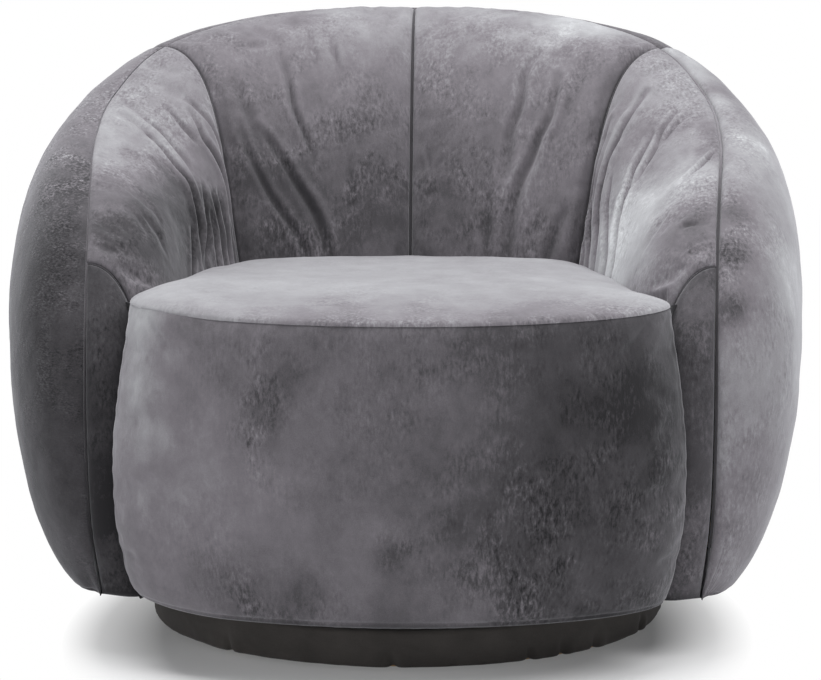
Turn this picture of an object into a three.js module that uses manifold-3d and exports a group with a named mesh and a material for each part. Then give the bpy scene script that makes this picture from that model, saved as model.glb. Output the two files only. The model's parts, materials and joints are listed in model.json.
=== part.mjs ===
// Swivel cuddle chair: a wide, round-backed upholstered armchair on a low cloth-wrapped plinth.
// Millimetres, +Z up. The origin is on the floor under the swivel axis, and the chair faces -Y.
import * as THREE from 'three';
import { mergeVertices } from 'three/addons/utils/BufferGeometryUtils.js';
import Module from 'manifold-3d';

const wasm = await Module();
wasm.setup();

// Whole chair
const overallWidth = 1044;
const overallDepth = 936;
const rimHeight = 784;
const fitGap = 0.3;
const softGap = 0.5;
const cutOverrun = 4;

// Rim seam, where the inner pads meet the outer covers
const rimSideSetIn = 112;
const rimBackSetIn = 123;
const armFrontSetBack = 166;
const rimSeamDepth = 36;

// Outer covers
const footSideSetIn = 98;
const footBackSetIn = 123;
const coverThickness = 22;
const coverCrown = 7;

// Inner pads
const innerFootSideSetIn = 78;
const innerFootBackSetIn = 223;
const padLedgeDrop = 61;
const padThickness = 50;
const padCrown = 15;
const armFrontThickness = 30;
const armFrontCrown = 3.75;

// Seat cushion and fascia
const seatSeamHeight = 461;
const seatCrown = 17;
const seatWallDrop = 5;
const seatTopThickness = 32;
const seatFrontSetIn = 2;
const fasciaTopLap = 4;
const fasciaTopEndSetBack = 8;
const fasciaBottomSetIn = 2;
const fasciaBottomEndSetBack = 10;
const fasciaSlope = 28;
const fasciaBulgeSide = 27;
const fasciaBulgeEnd = 26;
const fasciaThickness = 44;
const fasciaCrown = 4;
const seatCentreReach = 110;
const seatPadGap = 1.8;

// Plinth
const glideHeight = 6.3;
const glideRadius = 14;
const glidePegRadius = 3;
const glidePegHeight = 9;
const glideRingRadius = 285;
const glideCount = 6;
const plinthRadius = 334;
const plinthCoverThickness = 3;
const plinthLipWidth = 34;
const plinthLipThickness = 1;
const plinthBoardThickness = 18;
const plinthMiddleThickness = 10;
const plinthLinerRadius = 296;

// Swivel
const swivelPlateSize = 300;
const swivelPlateThickness = 3;
const swivelCornerRadius = 20;
const swivelBallRadius = 6.2;
const swivelBallRingRadius = 110;
const swivelBallCount = 12;
const cageWidth = 26;
const cageThickness = 5;
const pivotRadius = 10;
const pivotHeadRadius = 18;
const pivotHeadHeight = 4;
const pivotFootDepth = 12;
const boltRadius = 4;
const boltHeadRadius = 7.5;
const boltHeadHeight = 3.4;
const boltShankLength = 14;
const boltPlace = 128;

// Body frame
const baseBoardThickness = 18;
const undersideClothThickness = 1;
const undersideClothHoleRadius = 226;
const ribThickness = 18;
const railThickness = 22;
const railTopDrop = 100;
const sideRailSetIn = 107;
const backRailSetIn = 70;
const undersideRise = 5.2;
const frontPanelThickness = 15;
const ledgeThickness = 20;
const ledgeWidth = 58;
const ledgeSetIn = 2;
const topRailRadius = 9;
const armPostWidth = 28;
const armPostDepth = 40;
const armPostSetOut = 18;
const armPostSetBack = 100;
const armPostDrop = 28;
const frameClear = 0.8;
const ribPadGap = 1.6;
const ribCoverGap = 5.5;

// Webbing and foam
const webWidth = 60;
const webThickness = 2.2;
const crossWebCount = 4;
const crossWebFirst = -245;
const crossWebPitch = 80;
const longWebCount = 3;
const longWebPitch = 125;
const foamInset = 4;

// Shares of the rim seam's half width, of its depth from the arm fronts to the back, and of its
// height above the underside, from the middle of the back to the foot of one arm front
const rimSideShares = [0, 0.488, 0.824, 0.97, 1, 0.985, 0.968, 0.961, 0.961, 0.954, 0.927];
const rimDepthShares = [1, 0.953, 0.812, 0.642, 0.465, 0.279, 0.124, 0.031, 0, 0.016, 0.056];
const rimHeightShares = [1, 0.986, 0.937, 0.855, 0.791, 0.724, 0.634, 0.513, 0.342, 0.148, 0];

// The same for the line where the inner pads start, down in the seat and behind the fascia
const innerSideShares = [0, 0.392, 0.648, 0.753, 0.813, 0.867, 0.949, 0.994, 1, 0.994, 0.97];
const innerDepthShares = [1, 0.96, 0.882, 0.694, 0.541, 0.376, 0.212, 0.089, 0.056, 0.066, 0.106];
const innerHeightShares = [1, 1, 1, 1, 1, 1, 0.99, 0.87, 0.62, 0.3, 0];

// The same for the lower edge of the outer covers
const footSideShares = [0, 0.457, 0.765, 0.925, 0.986, 1, 0.995, 0.982, 0.961, 0.934, 0.902];
const footDepthShares = [1, 0.969, 0.829, 0.667, 0.496, 0.364, 0.264, 0.186, 0.132, 0.093, 0.07];

// Shares of a right angle: which way is outward in plan, how far the rim has turned from the top
// to the front, how far the seam leans to the inside, and how far the inner pads lean back
const planTurnShares = [1, 0.755, 0.467, 0.222, 0.067, 0.022, 0, 0, 0, 0, 0];
const rimTurnShares = [0, 0, 0.055, 0.155, 0.233, 0.31, 0.53, 0.83, 1, 1.07, 1.11];
const seamTiltShares = [-0.067, -0.03, 0.03, 0.1, 0.13, 0.1, 0.02, -0.07, -0.11, -0.155, -0.18];
const padLeanShares = [0.155, 0.155, 0.18, 0.22, 0.245, 0.22, 0.11, 0, 0, 0, 0];

// Shares of the distance from foot to seam: how far each end of a column runs straight
const padRiseShares = [0.42, 0.42, 0.42, 0.42, 0.42, 0.42, 0.42, 0.44, 0.46, 0.46, 0.46];
const padLipShares = [0.27, 0.28, 0.31, 0.34, 0.355, 0.36, 0.37, 0.38, 0.39, 0.39, 0.39];
const coverBulgeShares = [1, 0.98, 0.93, 0.96, 1, 1.04, 1.06, 1.02, 0.95, 0.85, 0.7];
const coverFootTurnShare = 0.46;
const coverLowerShare = 0.4;
const coverUpperShare = 0.6;

// Where the sewn seams and the pieces of the frame lie, as shares of the way through the tables
const backSeamShare = 0.2;
const armSeamShare = 0.63;
const seatEarShare = 0.605;
const widestShare = 0.4;
const cornerRibShare = 0.17;
const armRibShare = 0.39;
const ribSpanShare = 0.03;
const ledgeEndShare = 0.52;
const railEndShare = 0.66;
const boardEndShare = 0.74;
const seamShiftShare = 0.0004;

// How full each crown is between its seams: a higher power stays full closer to the seam
const crownPower = 4;
const rimCrownPower = 6;
const footCrownPower = 8;
const footDrawShare = 0.6;
const seatCrownPower = 3;
const seatRingShares = [0.985, 0.94, 0.85, 0.7, 0.5, 0.25];
const fasciaBowPower = 1.12;
const fasciaSwellPower = 0.8;
const ribTopShare = 0.72;

// Steps of the curved faces
const backColumns = 9;
const wingColumns = 14;
const armColumns = 9;
const padRows = 11;
const coverRows = 9;
const fasciaColumns = 22;
const fasciaRows = 7;
const ribRows = 9;
const ribSteps = 3;
const ledgeSteps = 30;
const railSteps = 28;
const railSides = 4;
const discSides = 40;
const smallSides = 10;
const boltHeadSides = 6;
const ballSides = 6;
const ballRings = 4;
const searchSteps = 24;
const normalStepShare = 0.0001;

const rightAngle = Math.PI / 2;
const fullTurn = 2 * Math.PI;
const half = 1 / 2;

// Heights of the plinth and swivel, from the floor up
const boardsBottom = glideHeight + plinthLipThickness + fitGap;
const middleBottom = boardsBottom + plinthBoardThickness + fitGap;
const topBoardBottom = middleBottom + plinthMiddleThickness + fitGap;
const boardsTop = topBoardBottom + plinthBoardThickness;
const lowerPlateBottom = boardsTop + fitGap;
const lowerPlateTop = lowerPlateBottom + swivelPlateThickness;
const ballCentre = lowerPlateTop + fitGap + swivelBallRadius;
const upperPlateBottom = ballCentre + swivelBallRadius + fitGap;
const upperPlateTop = upperPlateBottom + swivelPlateThickness;
const baseBoardBottom = upperPlateTop + fitGap;
const baseBoardTop = baseBoardBottom + baseBoardThickness;
const frameBottom = baseBoardTop + fitGap;
const undersideHeight = baseBoardBottom + undersideRise;

// Places in plan and heights of the seat body
const rimHalfWidth = overallWidth * half - rimSideSetIn;
const footHalfWidth = overallWidth * half - footSideSetIn;
const innerFootHalfWidth = rimHalfWidth - innerFootSideSetIn;
const rimBackReach = overallDepth * half - rimBackSetIn;
const footBackReach = overallDepth * half - footBackSetIn;
const innerBackReach = rimBackReach - innerFootBackSetIn;
const seatFrontReach = overallDepth * half - seatFrontSetIn;
const armFrontReach = seatFrontReach - armFrontSetBack;
const seatWallHeight = seatSeamHeight - seatWallDrop;
const padLedgeHeight = seatSeamHeight - padLedgeDrop;
const railTopHeight = padLedgeHeight - railTopDrop;
const armPostTop = padLedgeHeight - armPostDrop;
const fasciaTopHalfWidth = innerFootHalfWidth + fasciaTopLap;
const fasciaTopEndReach = armFrontReach - fasciaTopEndSetBack;
const fasciaBottomHalfWidth = innerFootHalfWidth - fasciaBottomSetIn;
const fasciaBottomEndReach = armFrontReach - fasciaBottomEndSetBack;
const fasciaBottomReach = seatFrontReach - fasciaSlope;
const sideRailPlace = innerFootHalfWidth - sideRailSetIn;
const backRailPlace = innerBackReach - backRailSetIn;
const armPostPlaceX = innerFootHalfWidth + armPostSetOut;
const armPostPlaceY = armFrontReach - armPostSetBack;

// Curves through the tables. A place is a share of the way through them, negative on the left
function splineValue(shares, place, mirrorSign) {
  const last = shares.length - 1;
  const along = place * last;
  const cell = Math.min(Math.floor(along), last - 1);
  const t = along - cell;
  const start = shares[cell];
  const end = shares[cell + 1];
  const before = cell > 0 ? shares[cell - 1] : mirrorSign * shares[1];
  const after = cell + 1 < last ? shares[cell + 2] : 2 * end - start;
  const slopeStart = (end - before) * half;
  const slopeEnd = (after - start) * half;
  const rise = start - end;
  const cubic = 2 * rise + slopeStart + slopeEnd;
  const square = -3 * rise - 2 * slopeStart - slopeEnd;
  return ((cubic * t + square) * t + slopeStart) * t + start;
}

const oddTable = (shares, place) => Math.sign(place) * splineValue(shares, Math.abs(place), -1);
const evenTable = (shares, place) => splineValue(shares, Math.abs(place), 1);

function rimPoint(place) {
  return new THREE.Vector3(
    rimHalfWidth * oddTable(rimSideShares, place),
    -armFrontReach + (rimBackReach + armFrontReach) * evenTable(rimDepthShares, place),
    undersideHeight + (rimHeight - undersideHeight) * evenTable(rimHeightShares, place),
  );
}

function innerFoot(place) {
  return new THREE.Vector3(
    innerFootHalfWidth * oddTable(innerSideShares, place),
    -armFrontReach + (innerBackReach + armFrontReach) * evenTable(innerDepthShares, place),
    undersideHeight + (padLedgeHeight - undersideHeight) * evenTable(innerHeightShares, place),
  );
}

function outerFoot(place) {
  return new THREE.Vector3(
    footHalfWidth * oddTable(footSideShares, place),
    -armFrontReach + (footBackReach + armFrontReach) * evenTable(footDepthShares, place),
    undersideHeight,
  );
}

// Directions of the shell at one place along the rim
function shellFrame(place) {
  const side = Math.sign(place);
  const plan = rightAngle * splineValue(planTurnShares, Math.abs(place), 1);
  const turn = rightAngle * evenTable(rimTurnShares, place);
  const tilt = rightAngle * evenTable(seamTiltShares, place);
  const lean = rightAngle * evenTable(padLeanShares, place);
  const planCos = place === 0 ? 0 : Math.cos(plan);
  const outward = new THREE.Vector3(side * planCos, Math.sin(plan), 0).normalize();
  const away = new THREE.Vector3(0, -Math.sin(turn), Math.cos(turn));
  const leaving = outward.clone().multiplyScalar(Math.cos(tilt)).addScaledVector(away, Math.sin(tilt));
  const rising = away.clone().multiplyScalar(Math.cos(lean)).addScaledVector(outward, Math.sin(lean));
  const behind = outward.clone().multiplyScalar(Math.max(Math.cos(turn), 0));
  behind.y += Math.sin(Math.min(turn, rightAngle));
  behind.normalize();
  return { outward, away, leaving, rising, behind };
}

function bezierPoint(points, t) {
  const s = 1 - t;
  return new THREE.Vector3()
    .addScaledVector(points[0], s * s * s)
    .addScaledVector(points[1], 3 * s * s * t)
    .addScaledVector(points[2], 3 * s * t * t)
    .addScaledVector(points[3], t * t * t);
}

// Outward swell of the outer covers beyond the line from foot to seam
const backChord = rimHeight - undersideHeight;
const sideBulge = (overallWidth - footHalfWidth - rimHalfWidth) * half - coverCrown;
const backBulge = (overallDepth - footBackReach - rimBackReach) * half - coverCrown;
const widestChord = rimPoint(widestShare).distanceTo(outerFoot(widestShare));

function coverBulge(place, chord) {
  const toSide = Math.min(Math.abs(place) / widestShare, 1);
  const slimness = THREE.MathUtils.lerp(backBulge / backChord, sideBulge / widestChord, toSide);
  return slimness * chord * evenTable(coverBulgeShares, place);
}

function coverControls(place) {
  const frame = shellFrame(place);
  const foot = outerFoot(place);
  const seam = rimPoint(place);
  const reach = (coverBulge(place, foot.distanceTo(seam)) * 4 * 2) / 3;
  const footTurn = rightAngle * coverFootTurnShare;
  const tilt = rightAngle * evenTable(seamTiltShares, place);
  const lowerReach = (reach * coverLowerShare) / Math.cos(footTurn);
  const upperReach = (reach * coverUpperShare) / Math.cos(tilt);
  const lower = foot.clone().addScaledVector(frame.outward, lowerReach * Math.cos(footTurn));
  lower.z += lowerReach * Math.sin(footTurn);
  const upper = seam.clone().addScaledVector(frame.leaving, upperReach);
  return [foot, lower, upper, seam];
}

function padControls(place) {
  const frame = shellFrame(place);
  const foot = innerFoot(place);
  const seam = rimPoint(place);
  const chord = foot.distanceTo(seam);
  const lower = foot.clone().addScaledVector(frame.rising, chord * evenTable(padRiseShares, place));
  const upper = seam.clone().addScaledVector(frame.leaving, -chord * evenTable(padLipShares, place));
  return [foot, lower, upper, seam];
}

// Hidden faces, set in from the seen ones by the thickness of the padding
function coverInner(place, t, extra) {
  const frame = shellFrame(place);
  const points = coverControls(place);
  const depth = coverThickness + extra;
  points[0].addScaledVector(frame.outward, -depth);
  points[1].addScaledVector(frame.outward, -depth);
  points[2].addScaledVector(frame.outward, -depth * half).addScaledVector(frame.away, -depth);
  points[3].addScaledVector(frame.away, -(rimSeamDepth + extra));
  return bezierPoint(points, t);
}

function padInner(place, t, thickness, extra) {
  const frame = shellFrame(place);
  const points = padControls(place);
  const depth = thickness + extra;
  points[0].addScaledVector(frame.behind, depth);
  points[1].addScaledVector(frame.behind, depth);
  points[2].addScaledVector(frame.away, -depth);
  points[3].addScaledVector(frame.away, -(rimSeamDepth + extra));
  return bezierPoint(points, t);
}

// Seen faces, crowned between their seams

function crownShare(place, first, last, t) {
  const across = (2 * (place - first)) / (last - first) - 1;
  const side = 1 - Math.abs(across) ** crownPower;
  const foot = 1 - footDrawShare * (1 - t) ** footCrownPower;
  return Math.max(side, 0) * (1 - t ** rimCrownPower) * foot;
}

function crownedPoint(controlsAt, place, t, first, last, crown, facing) {
  const base = bezierPoint(controlsAt(place), t);
  const alongStep = place > 0 ? -normalStepShare : normalStepShare;
  const riseStep = t > half ? -normalStepShare : normalStepShare;
  const along = bezierPoint(controlsAt(place + alongStep), t).sub(base);
  const rise = bezierPoint(controlsAt(place), t + riseStep).sub(base);
  const turn = facing * Math.sign(alongStep) * Math.sign(riseStep);
  const normal = along.cross(rise).normalize().multiplyScalar(turn);
  return base.addScaledVector(normal, crown * crownShare(place, first, last, t));
}

const padPoint = (place, t, first, last, crown) =>
  crownedPoint(padControls, place, t, first, last, crown, 1);
const coverPoint = (place, t, first, last) =>
  crownedPoint(coverControls, place, t, first, last, coverCrown, -1);

// Solids

function orient(geometry) {
  const position = geometry.attributes.position;
  const index = geometry.index;
  const a = new THREE.Vector3();
  const b = new THREE.Vector3();
  const c = new THREE.Vector3();
  let volume = 0;
  for (let i = 0; i < index.count; i += 3) {
    a.fromBufferAttribute(position, index.getX(i));
    b.fromBufferAttribute(position, index.getX(i + 1));
    c.fromBufferAttribute(position, index.getX(i + 2));
    volume += a.dot(b.cross(c));
  }
  if (volume < 0) {
    for (let i = 0; i < index.count; i += 3) {
      const keep = index.getX(i);
      index.setX(i, index.getX(i + 1));
      index.setX(i + 1, keep);
    }
  }
  return geometry;
}

function meshGeometry(points, faces) {
  const geometry = new THREE.BufferGeometry();
  const flat = points.flatMap((p) => [p.x, p.y, p.z]);
  geometry.setAttribute('position', new THREE.Float32BufferAttribute(flat, 3));
  geometry.setIndex(faces.flat());
  return orient(geometry);
}

// A closed pad from a seen and a hidden grid of the same size
function gridSolid(seenRows, hiddenRows) {
  const rowCount = seenRows.length;
  const columnCount = seenRows[0].length;
  const points = [...seenRows.flat(), ...hiddenRows.flat()];
  const hiddenStart = rowCount * columnCount;
  const seen = (row, column) => row * columnCount + column;
  const hidden = (row, column) => hiddenStart + seen(row, column);
  const faces = [];
  const quad = (a, b, c, d) => faces.push([a, b, c], [a, c, d]);
  const top = rowCount - 1;
  const end = columnCount - 1;
  for (let row = 0; row < top; row += 1) {
    const next = row + 1;
    for (let column = 0; column < end; column += 1) {
      const right = column + 1;
      quad(seen(row, column), seen(row, right), seen(next, right), seen(next, column));
      quad(hidden(row, column), hidden(next, column), hidden(next, right), hidden(row, right));
    }
    quad(seen(row, 0), seen(next, 0), hidden(next, 0), hidden(row, 0));
    quad(seen(row, end), hidden(row, end), hidden(next, end), seen(next, end));
  }
  for (let column = 0; column < end; column += 1) {
    const right = column + 1;
    quad(seen(0, column), hidden(0, column), hidden(0, right), seen(0, right));
    quad(seen(top, column), seen(top, right), hidden(top, right), hidden(top, column));
  }
  return meshGeometry(points, faces);
}

// A solid from closed rings of points, each end closed by a fan to its middle
function ringSolid(rings) {
  const count = rings[0].length;
  const points = rings.flat();
  const faces = [];
  for (let ring = 0; ring < rings.length - 1; ring += 1) {
    for (let i = 0; i < count; i += 1) {
      const j = (i + 1) % count;
      const here = ring * count;
      const there = here + count;
      faces.push([here + i, here + j, there + j], [here + i, there + j, there + i]);
    }
  }
  const closeEnd = (start, flip) => {
    const centre = new THREE.Vector3();
    for (let i = 0; i < count; i += 1) {
      centre.add(points[start + i]);
    }
    points.push(centre.divideScalar(count));
    const middle = points.length - 1;
    for (let i = 0; i < count; i += 1) {
      const j = (i + 1) % count;
      faces.push(flip ? [start + j, start + i, middle] : [start + i, start + j, middle]);
    }
  };
  closeEnd(0, true);
  closeEnd((rings.length - 1) * count, false);
  return meshGeometry(points, faces);
}

function toManifold(geometry) {
  const bare = geometry.clone();
  bare.deleteAttribute('normal');
  bare.deleteAttribute('uv');
  const merged = mergeVertices(bare);
  return new wasm.Manifold(
    new wasm.Mesh({
      numProp: 3,
      vertProperties: new Float32Array(merged.attributes.position.array),
      triVerts: new Uint32Array(merged.index.array),
    }),
  );
}

function fromManifold(solid) {
  const mesh = solid.getMesh();
  const geometry = new THREE.BufferGeometry();
  geometry.setAttribute('position', new THREE.BufferAttribute(mesh.vertProperties, 3));
  geometry.setIndex(new THREE.BufferAttribute(mesh.triVerts, 1));
  return geometry;
}

function cutBy(geometry, cutters) {
  let solid = toManifold(geometry);
  for (const cutter of cutters) {
    solid = solid.subtract(toManifold(cutter));
  }
  return fromManifold(solid);
}

const keepWithin = (geometry, limit) => fromManifold(toManifold(geometry).intersect(toManifold(limit)));

function joined(geometries) {
  let solid = toManifold(geometries[0]);
  for (const geometry of geometries.slice(1)) {
    solid = solid.add(toManifold(geometry));
  }
  return fromManifold(solid);
}

const range = (count) => Array.from({ length: count + 1 }, (_, i) => i / count);
const stations = (first, last, count) => range(count).map((share) => first + (last - first) * share);

function disc(radius, bottom, height, sides = discSides) {
  const geometry = new THREE.CylinderGeometry(radius, radius, height, sides);
  geometry.rotateX(rightAngle);
  geometry.translate(0, 0, bottom + height * half);
  return geometry;
}

function discAt(x, y, radius, bottom, height, sides = smallSides) {
  return disc(radius, bottom, height, sides).translate(x, y, 0);
}

// A block standing on its own bottom face
function block(width, depth, height) {
  return new THREE.BoxGeometry(width, depth, height).translate(0, 0, height * half);
}

function turned(profile, sides) {
  const geometry = new THREE.LatheGeometry(profile.map(([r, z]) => new THREE.Vector2(r, z)), sides);
  geometry.rotateX(rightAngle);
  return geometry;
}

const flatOutline = (points) => points.map((point) => [point.x, point.y]);

function plate(outline, bottom, height) {
  const shape = new THREE.Shape(outline.map(([x, y]) => new THREE.Vector2(x, y)));
  const geometry = new THREE.ExtrudeGeometry(shape, { depth: height, bevelEnabled: false });
  geometry.translate(0, 0, bottom);
  return geometry;
}

// What stands on the floor, what rolls between the plates, and what turns with the seat
const plinth = new THREE.Group();
const bearing = new THREE.Group();
const seatBody = new THREE.Group();
const chair = new THREE.Group().add(plinth, bearing, seatBody);

function addPart(group, name, geometry, finish) {
  const mesh = new THREE.Mesh(geometry, new THREE.MeshStandardMaterial(finish));
  mesh.name = name;
  group.add(mesh);
  return mesh;
}

const velvet = { color: 0x8e8b90, roughness: 0.9, metalness: 0 };
const velvetLight = { color: 0xa3a1a6, roughness: 0.9, metalness: 0 };
const velvetDark = { color: 0x5c5a5e, roughness: 0.92, metalness: 0 };
const plinthCloth = { color: 0x3b3836, roughness: 0.95, metalness: 0 };
const blackCloth = { color: 0x1c1b1c, roughness: 0.95, metalness: 0 };
const plywood = { color: 0xc09a66, roughness: 0.7, metalness: 0 };
const steel = { color: 0x9a9da0, roughness: 0.4, metalness: 1 };
const zinc = { color: 0xb4b6b8, roughness: 0.35, metalness: 1 };
const nylon = { color: 0x2a2a2b, roughness: 0.5, metalness: 0 };
const foam = { color: 0xe6dcb0, roughness: 1, metalness: 0 };
const webbing = { color: 0x3a3a3c, roughness: 0.9, metalness: 0 };

const boltCorners = [
  [1, 1],
  [-1, 1],
  [-1, -1],
  [1, -1],
];

// Plinth: three round boards, wrapped in cloth, on six glides
function buildPlinth() {
  const boardRadius = plinthRadius - plinthCoverThickness - fitGap;
  const glidePlaces = Array.from({ length: glideCount }, (_, i) => {
    const angle = ((i + half) / glideCount) * fullTurn;
    return [glideRingRadius * Math.cos(angle), glideRingRadius * Math.sin(angle)];
  });
  const pegHole = ([x, y]) =>
    discAt(x, y, glidePegRadius + fitGap, glideHeight - cutOverrun, glidePegHeight + cutOverrun + fitGap);
  const pegHoles = glidePlaces.map(pegHole);
  const bottomBoard = disc(boardRadius, boardsBottom, plinthBoardThickness);
  addPart(plinth, 'plinth_bottom_board', cutBy(bottomBoard, pegHoles), plywood);
  addPart(plinth, 'plinth_middle_board', disc(boardRadius, middleBottom, plinthMiddleThickness), plywood);
  const pivotHoleHeight = plinthBoardThickness + 2 * cutOverrun;
  const pivotHole = disc(pivotRadius + fitGap, topBoardBottom - cutOverrun, pivotHoleHeight);
  const boltHoles = boltCorners.map(([sx, sy]) =>
    discAt(
      sx * boltPlace,
      sy * boltPlace,
      boltRadius + fitGap,
      boardsTop - boltShankLength + swivelPlateThickness - fitGap,
      boltShankLength + cutOverrun,
    ),
  );
  const topBoard = disc(boardRadius, topBoardBottom, plinthBoardThickness);
  addPart(plinth, 'plinth_top_board', cutBy(topBoard, [pivotHole, ...boltHoles]), plywood);
  const lipRadius = plinthRadius - plinthLipWidth;
  const wallInner = plinthRadius - plinthCoverThickness;
  const coverBottom = glideHeight;
  const innerBottom = coverBottom + plinthLipThickness;
  const innerTop = boardsTop + fitGap;
  const coverTop = innerTop + plinthLipThickness;
  const coverProfile = [
    [lipRadius, coverBottom],
    [plinthRadius, coverBottom],
    [plinthRadius, coverTop],
    [lipRadius, coverTop],
    [lipRadius, innerTop],
    [wallInner, innerTop],
    [wallInner, innerBottom],
    [lipRadius, innerBottom],
    [lipRadius, coverBottom],
  ];
  addPart(plinth, 'plinth_cover', turned(coverProfile, discSides), plinthCloth);
  const liner = disc(plinthLinerRadius, glideHeight, plinthLipThickness);
  addPart(plinth, 'plinth_liner', cutBy(liner, pegHoles), blackCloth);
  glidePlaces.forEach(([x, y], i) => {
    const profile = [
      [0, 0],
      [glideRadius, 0],
      [glideRadius, glideHeight - fitGap],
      [glidePegRadius, glideHeight - fitGap],
      [glidePegRadius, glideHeight + glidePegHeight - fitGap],
      [0, glideHeight + glidePegHeight - fitGap],
    ];
    addPart(plinth, `glide_${i + 1}`, turned(profile, smallSides), nylon).position.set(x, y, 0);
  });
}

function squarePlate(bottom, holeRadius) {
  const flat = swivelPlateSize * half - swivelCornerRadius;
  const shape = new THREE.Shape();
  boltCorners.forEach(([sx, sy], i) => {
    const start = i * rightAngle;
    shape.absarc(sx * flat, sy * flat, swivelCornerRadius, start, start + rightAngle, false);
  });
  shape.closePath();
  const centreHole = new THREE.Path().absarc(0, 0, holeRadius, 0, fullTurn, true);
  shape.holes.push(centreHole);
  for (const [sx, sy] of boltCorners) {
    const hole = new THREE.Path();
    hole.absarc(sx * boltPlace, sy * boltPlace, boltRadius + fitGap, 0, fullTurn, true);
    shape.holes.push(hole);
  }
  const geometry = new THREE.ExtrudeGeometry(shape, {
    depth: swivelPlateThickness,
    bevelEnabled: false,
    curveSegments: smallSides * half,
  });
  geometry.translate(0, 0, bottom);
  return geometry;
}

// Swivel: two plates with a ring of captive balls between them, round a pivot pin
function buildSwivel() {
  addPart(plinth, 'swivel_lower_plate', squarePlate(lowerPlateBottom, pivotRadius + 2 * fitGap), steel);
  addPart(seatBody, 'swivel_upper_plate', squarePlate(upperPlateBottom, pivotRadius + 2 * fitGap), steel);
  const cageInner = swivelBallRingRadius - cageWidth * half;
  const cageOuter = swivelBallRingRadius + cageWidth * half;
  const cageBottom = ballCentre - cageThickness * half;
  const cageTop = ballCentre + cageThickness * half;
  const ring = turned(
    [
      [cageInner, cageBottom],
      [cageOuter, cageBottom],
      [cageOuter, cageTop],
      [cageInner, cageTop],
      [cageInner, cageBottom],
    ],
    discSides * half,
  );
  const balls = Array.from({ length: swivelBallCount }, (_, i) => {
    const angle = (i / swivelBallCount) * fullTurn;
    const ball = new THREE.SphereGeometry(swivelBallRadius, ballSides, ballRings);
    ball.rotateX(rightAngle);
    return ball.translate(
      swivelBallRingRadius * Math.cos(angle),
      swivelBallRingRadius * Math.sin(angle),
      ballCentre,
    );
  });
  addPart(bearing, 'ball_cage', joined([ring, ...balls]), zinc);
  const headBottom = upperPlateTop + fitGap;
  const pin = turned(
    [
      [0, boardsTop - pivotFootDepth],
      [pivotRadius, boardsTop - pivotFootDepth],
      [pivotRadius, headBottom],
      [pivotHeadRadius, headBottom],
      [pivotHeadRadius, headBottom + pivotHeadHeight],
      [0, headBottom + pivotHeadHeight],
    ],
    smallSides * 2,
  );
  addPart(plinth, 'pivot_pin', pin, steel);
  boltCorners.forEach(([sx, sy], i) => {
    const lowerHead = lowerPlateTop + fitGap;
    const lowerBolt = joined([
      disc(boltHeadRadius, lowerHead, boltHeadHeight, boltHeadSides),
      disc(boltRadius, lowerHead - boltShankLength, boltShankLength + fitGap, smallSides),
    ]);
    const lower = addPart(plinth, `lower_bolt_${i + 1}`, lowerBolt, zinc);
    lower.position.set(sx * boltPlace, sy * boltPlace, 0);
    const upperHead = upperPlateBottom - fitGap - boltHeadHeight;
    const upperBolt = joined([
      disc(boltHeadRadius, upperHead, boltHeadHeight, boltHeadSides),
      disc(boltRadius, upperHead + boltHeadHeight - fitGap, boltShankLength + fitGap, smallSides),
    ]);
    const upper = addPart(seatBody, `upper_bolt_${i + 1}`, upperBolt, zinc);
    upper.position.set(sx * boltPlace, sy * boltPlace, 0);
  });
}

// Fascia: a bowed panel from arm front to arm front
function fasciaCurve(rise, inset) {
  const swell = Math.sin(fullTurn * half * rise ** fasciaSwellPower);
  const grown = (bottom, top, bulge) => THREE.MathUtils.lerp(bottom, top, rise) + bulge * swell;
  const halfWidth = grown(fasciaBottomHalfWidth, fasciaTopHalfWidth, fasciaBulgeSide);
  const endReach = grown(fasciaBottomEndReach, fasciaTopEndReach, fasciaBulgeEnd);
  const frontReach = grown(fasciaBottomReach, seatFrontReach, fasciaCrown);
  const across = halfWidth - inset;
  const bow = frontReach - inset - endReach;
  return (share) => {
    const angle = rightAngle * share;
    return [across * Math.sin(angle), -endReach - bow * Math.cos(angle) ** fasciaBowPower];
  };
}

function buildFascia() {
  const height = seatSeamHeight - fitGap - undersideHeight;
  const hiddenHeight = seatSeamHeight - seatTopThickness - fitGap - undersideHeight;
  const rows = (inset, rowHeight) =>
    range(fasciaRows).map((rise) => {
      const curve = fasciaCurve(rise, inset);
      return stations(-1, 1, fasciaColumns).map((share) => {
        const [x, y] = curve(share);
        return new THREE.Vector3(x, y, undersideHeight + rowHeight * rise);
      });
    });
  const panel = gridSolid(rows(0, height), rows(fasciaThickness, hiddenHeight));
  addPart(seatBody, 'front_fascia', panel, velvet);
}

// Columns of the shell, shared by the pads and by the seat that fits between them
const backStations = stations(0, backSeamShare, backColumns);
const wingStations = stations(backSeamShare, armSeamShare, wingColumns);
const armStations = stations(armSeamShare, 1, armColumns);

function shiftedStations(places, side) {
  const last = places.length - 1;
  return places.map((place, i) => {
    const inward = Number(i === 0) - Number(i === last);
    return side * (place + seamShiftShare * inward);
  });
}

// Rows of points from foot to rim, with the rim row moved off the seam by half the gap there
function shellGrid(columns, rowCount, pointAt, rimShift) {
  return range(rowCount).map((t) =>
    columns.map((place) => {
      const point = pointAt(place, t);
      return t === 1 ? point.addScaledVector(shellFrame(place).leaving, rimShift) : point;
    }),
  );
}

function padSolid(places, side, thickness, crown) {
  const columns = shiftedStations(places, side);
  const first = columns[0];
  const last = columns[columns.length - 1];
  const seen = (place, t) => padPoint(place, t, first, last, crown);
  const hidden = (place, t) => padInner(place, t, thickness, 0);
  const grid = (pointAt) => shellGrid(columns, padRows, pointAt, -softGap * half);
  return gridSolid(grid(seen), grid(hidden));
}

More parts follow.
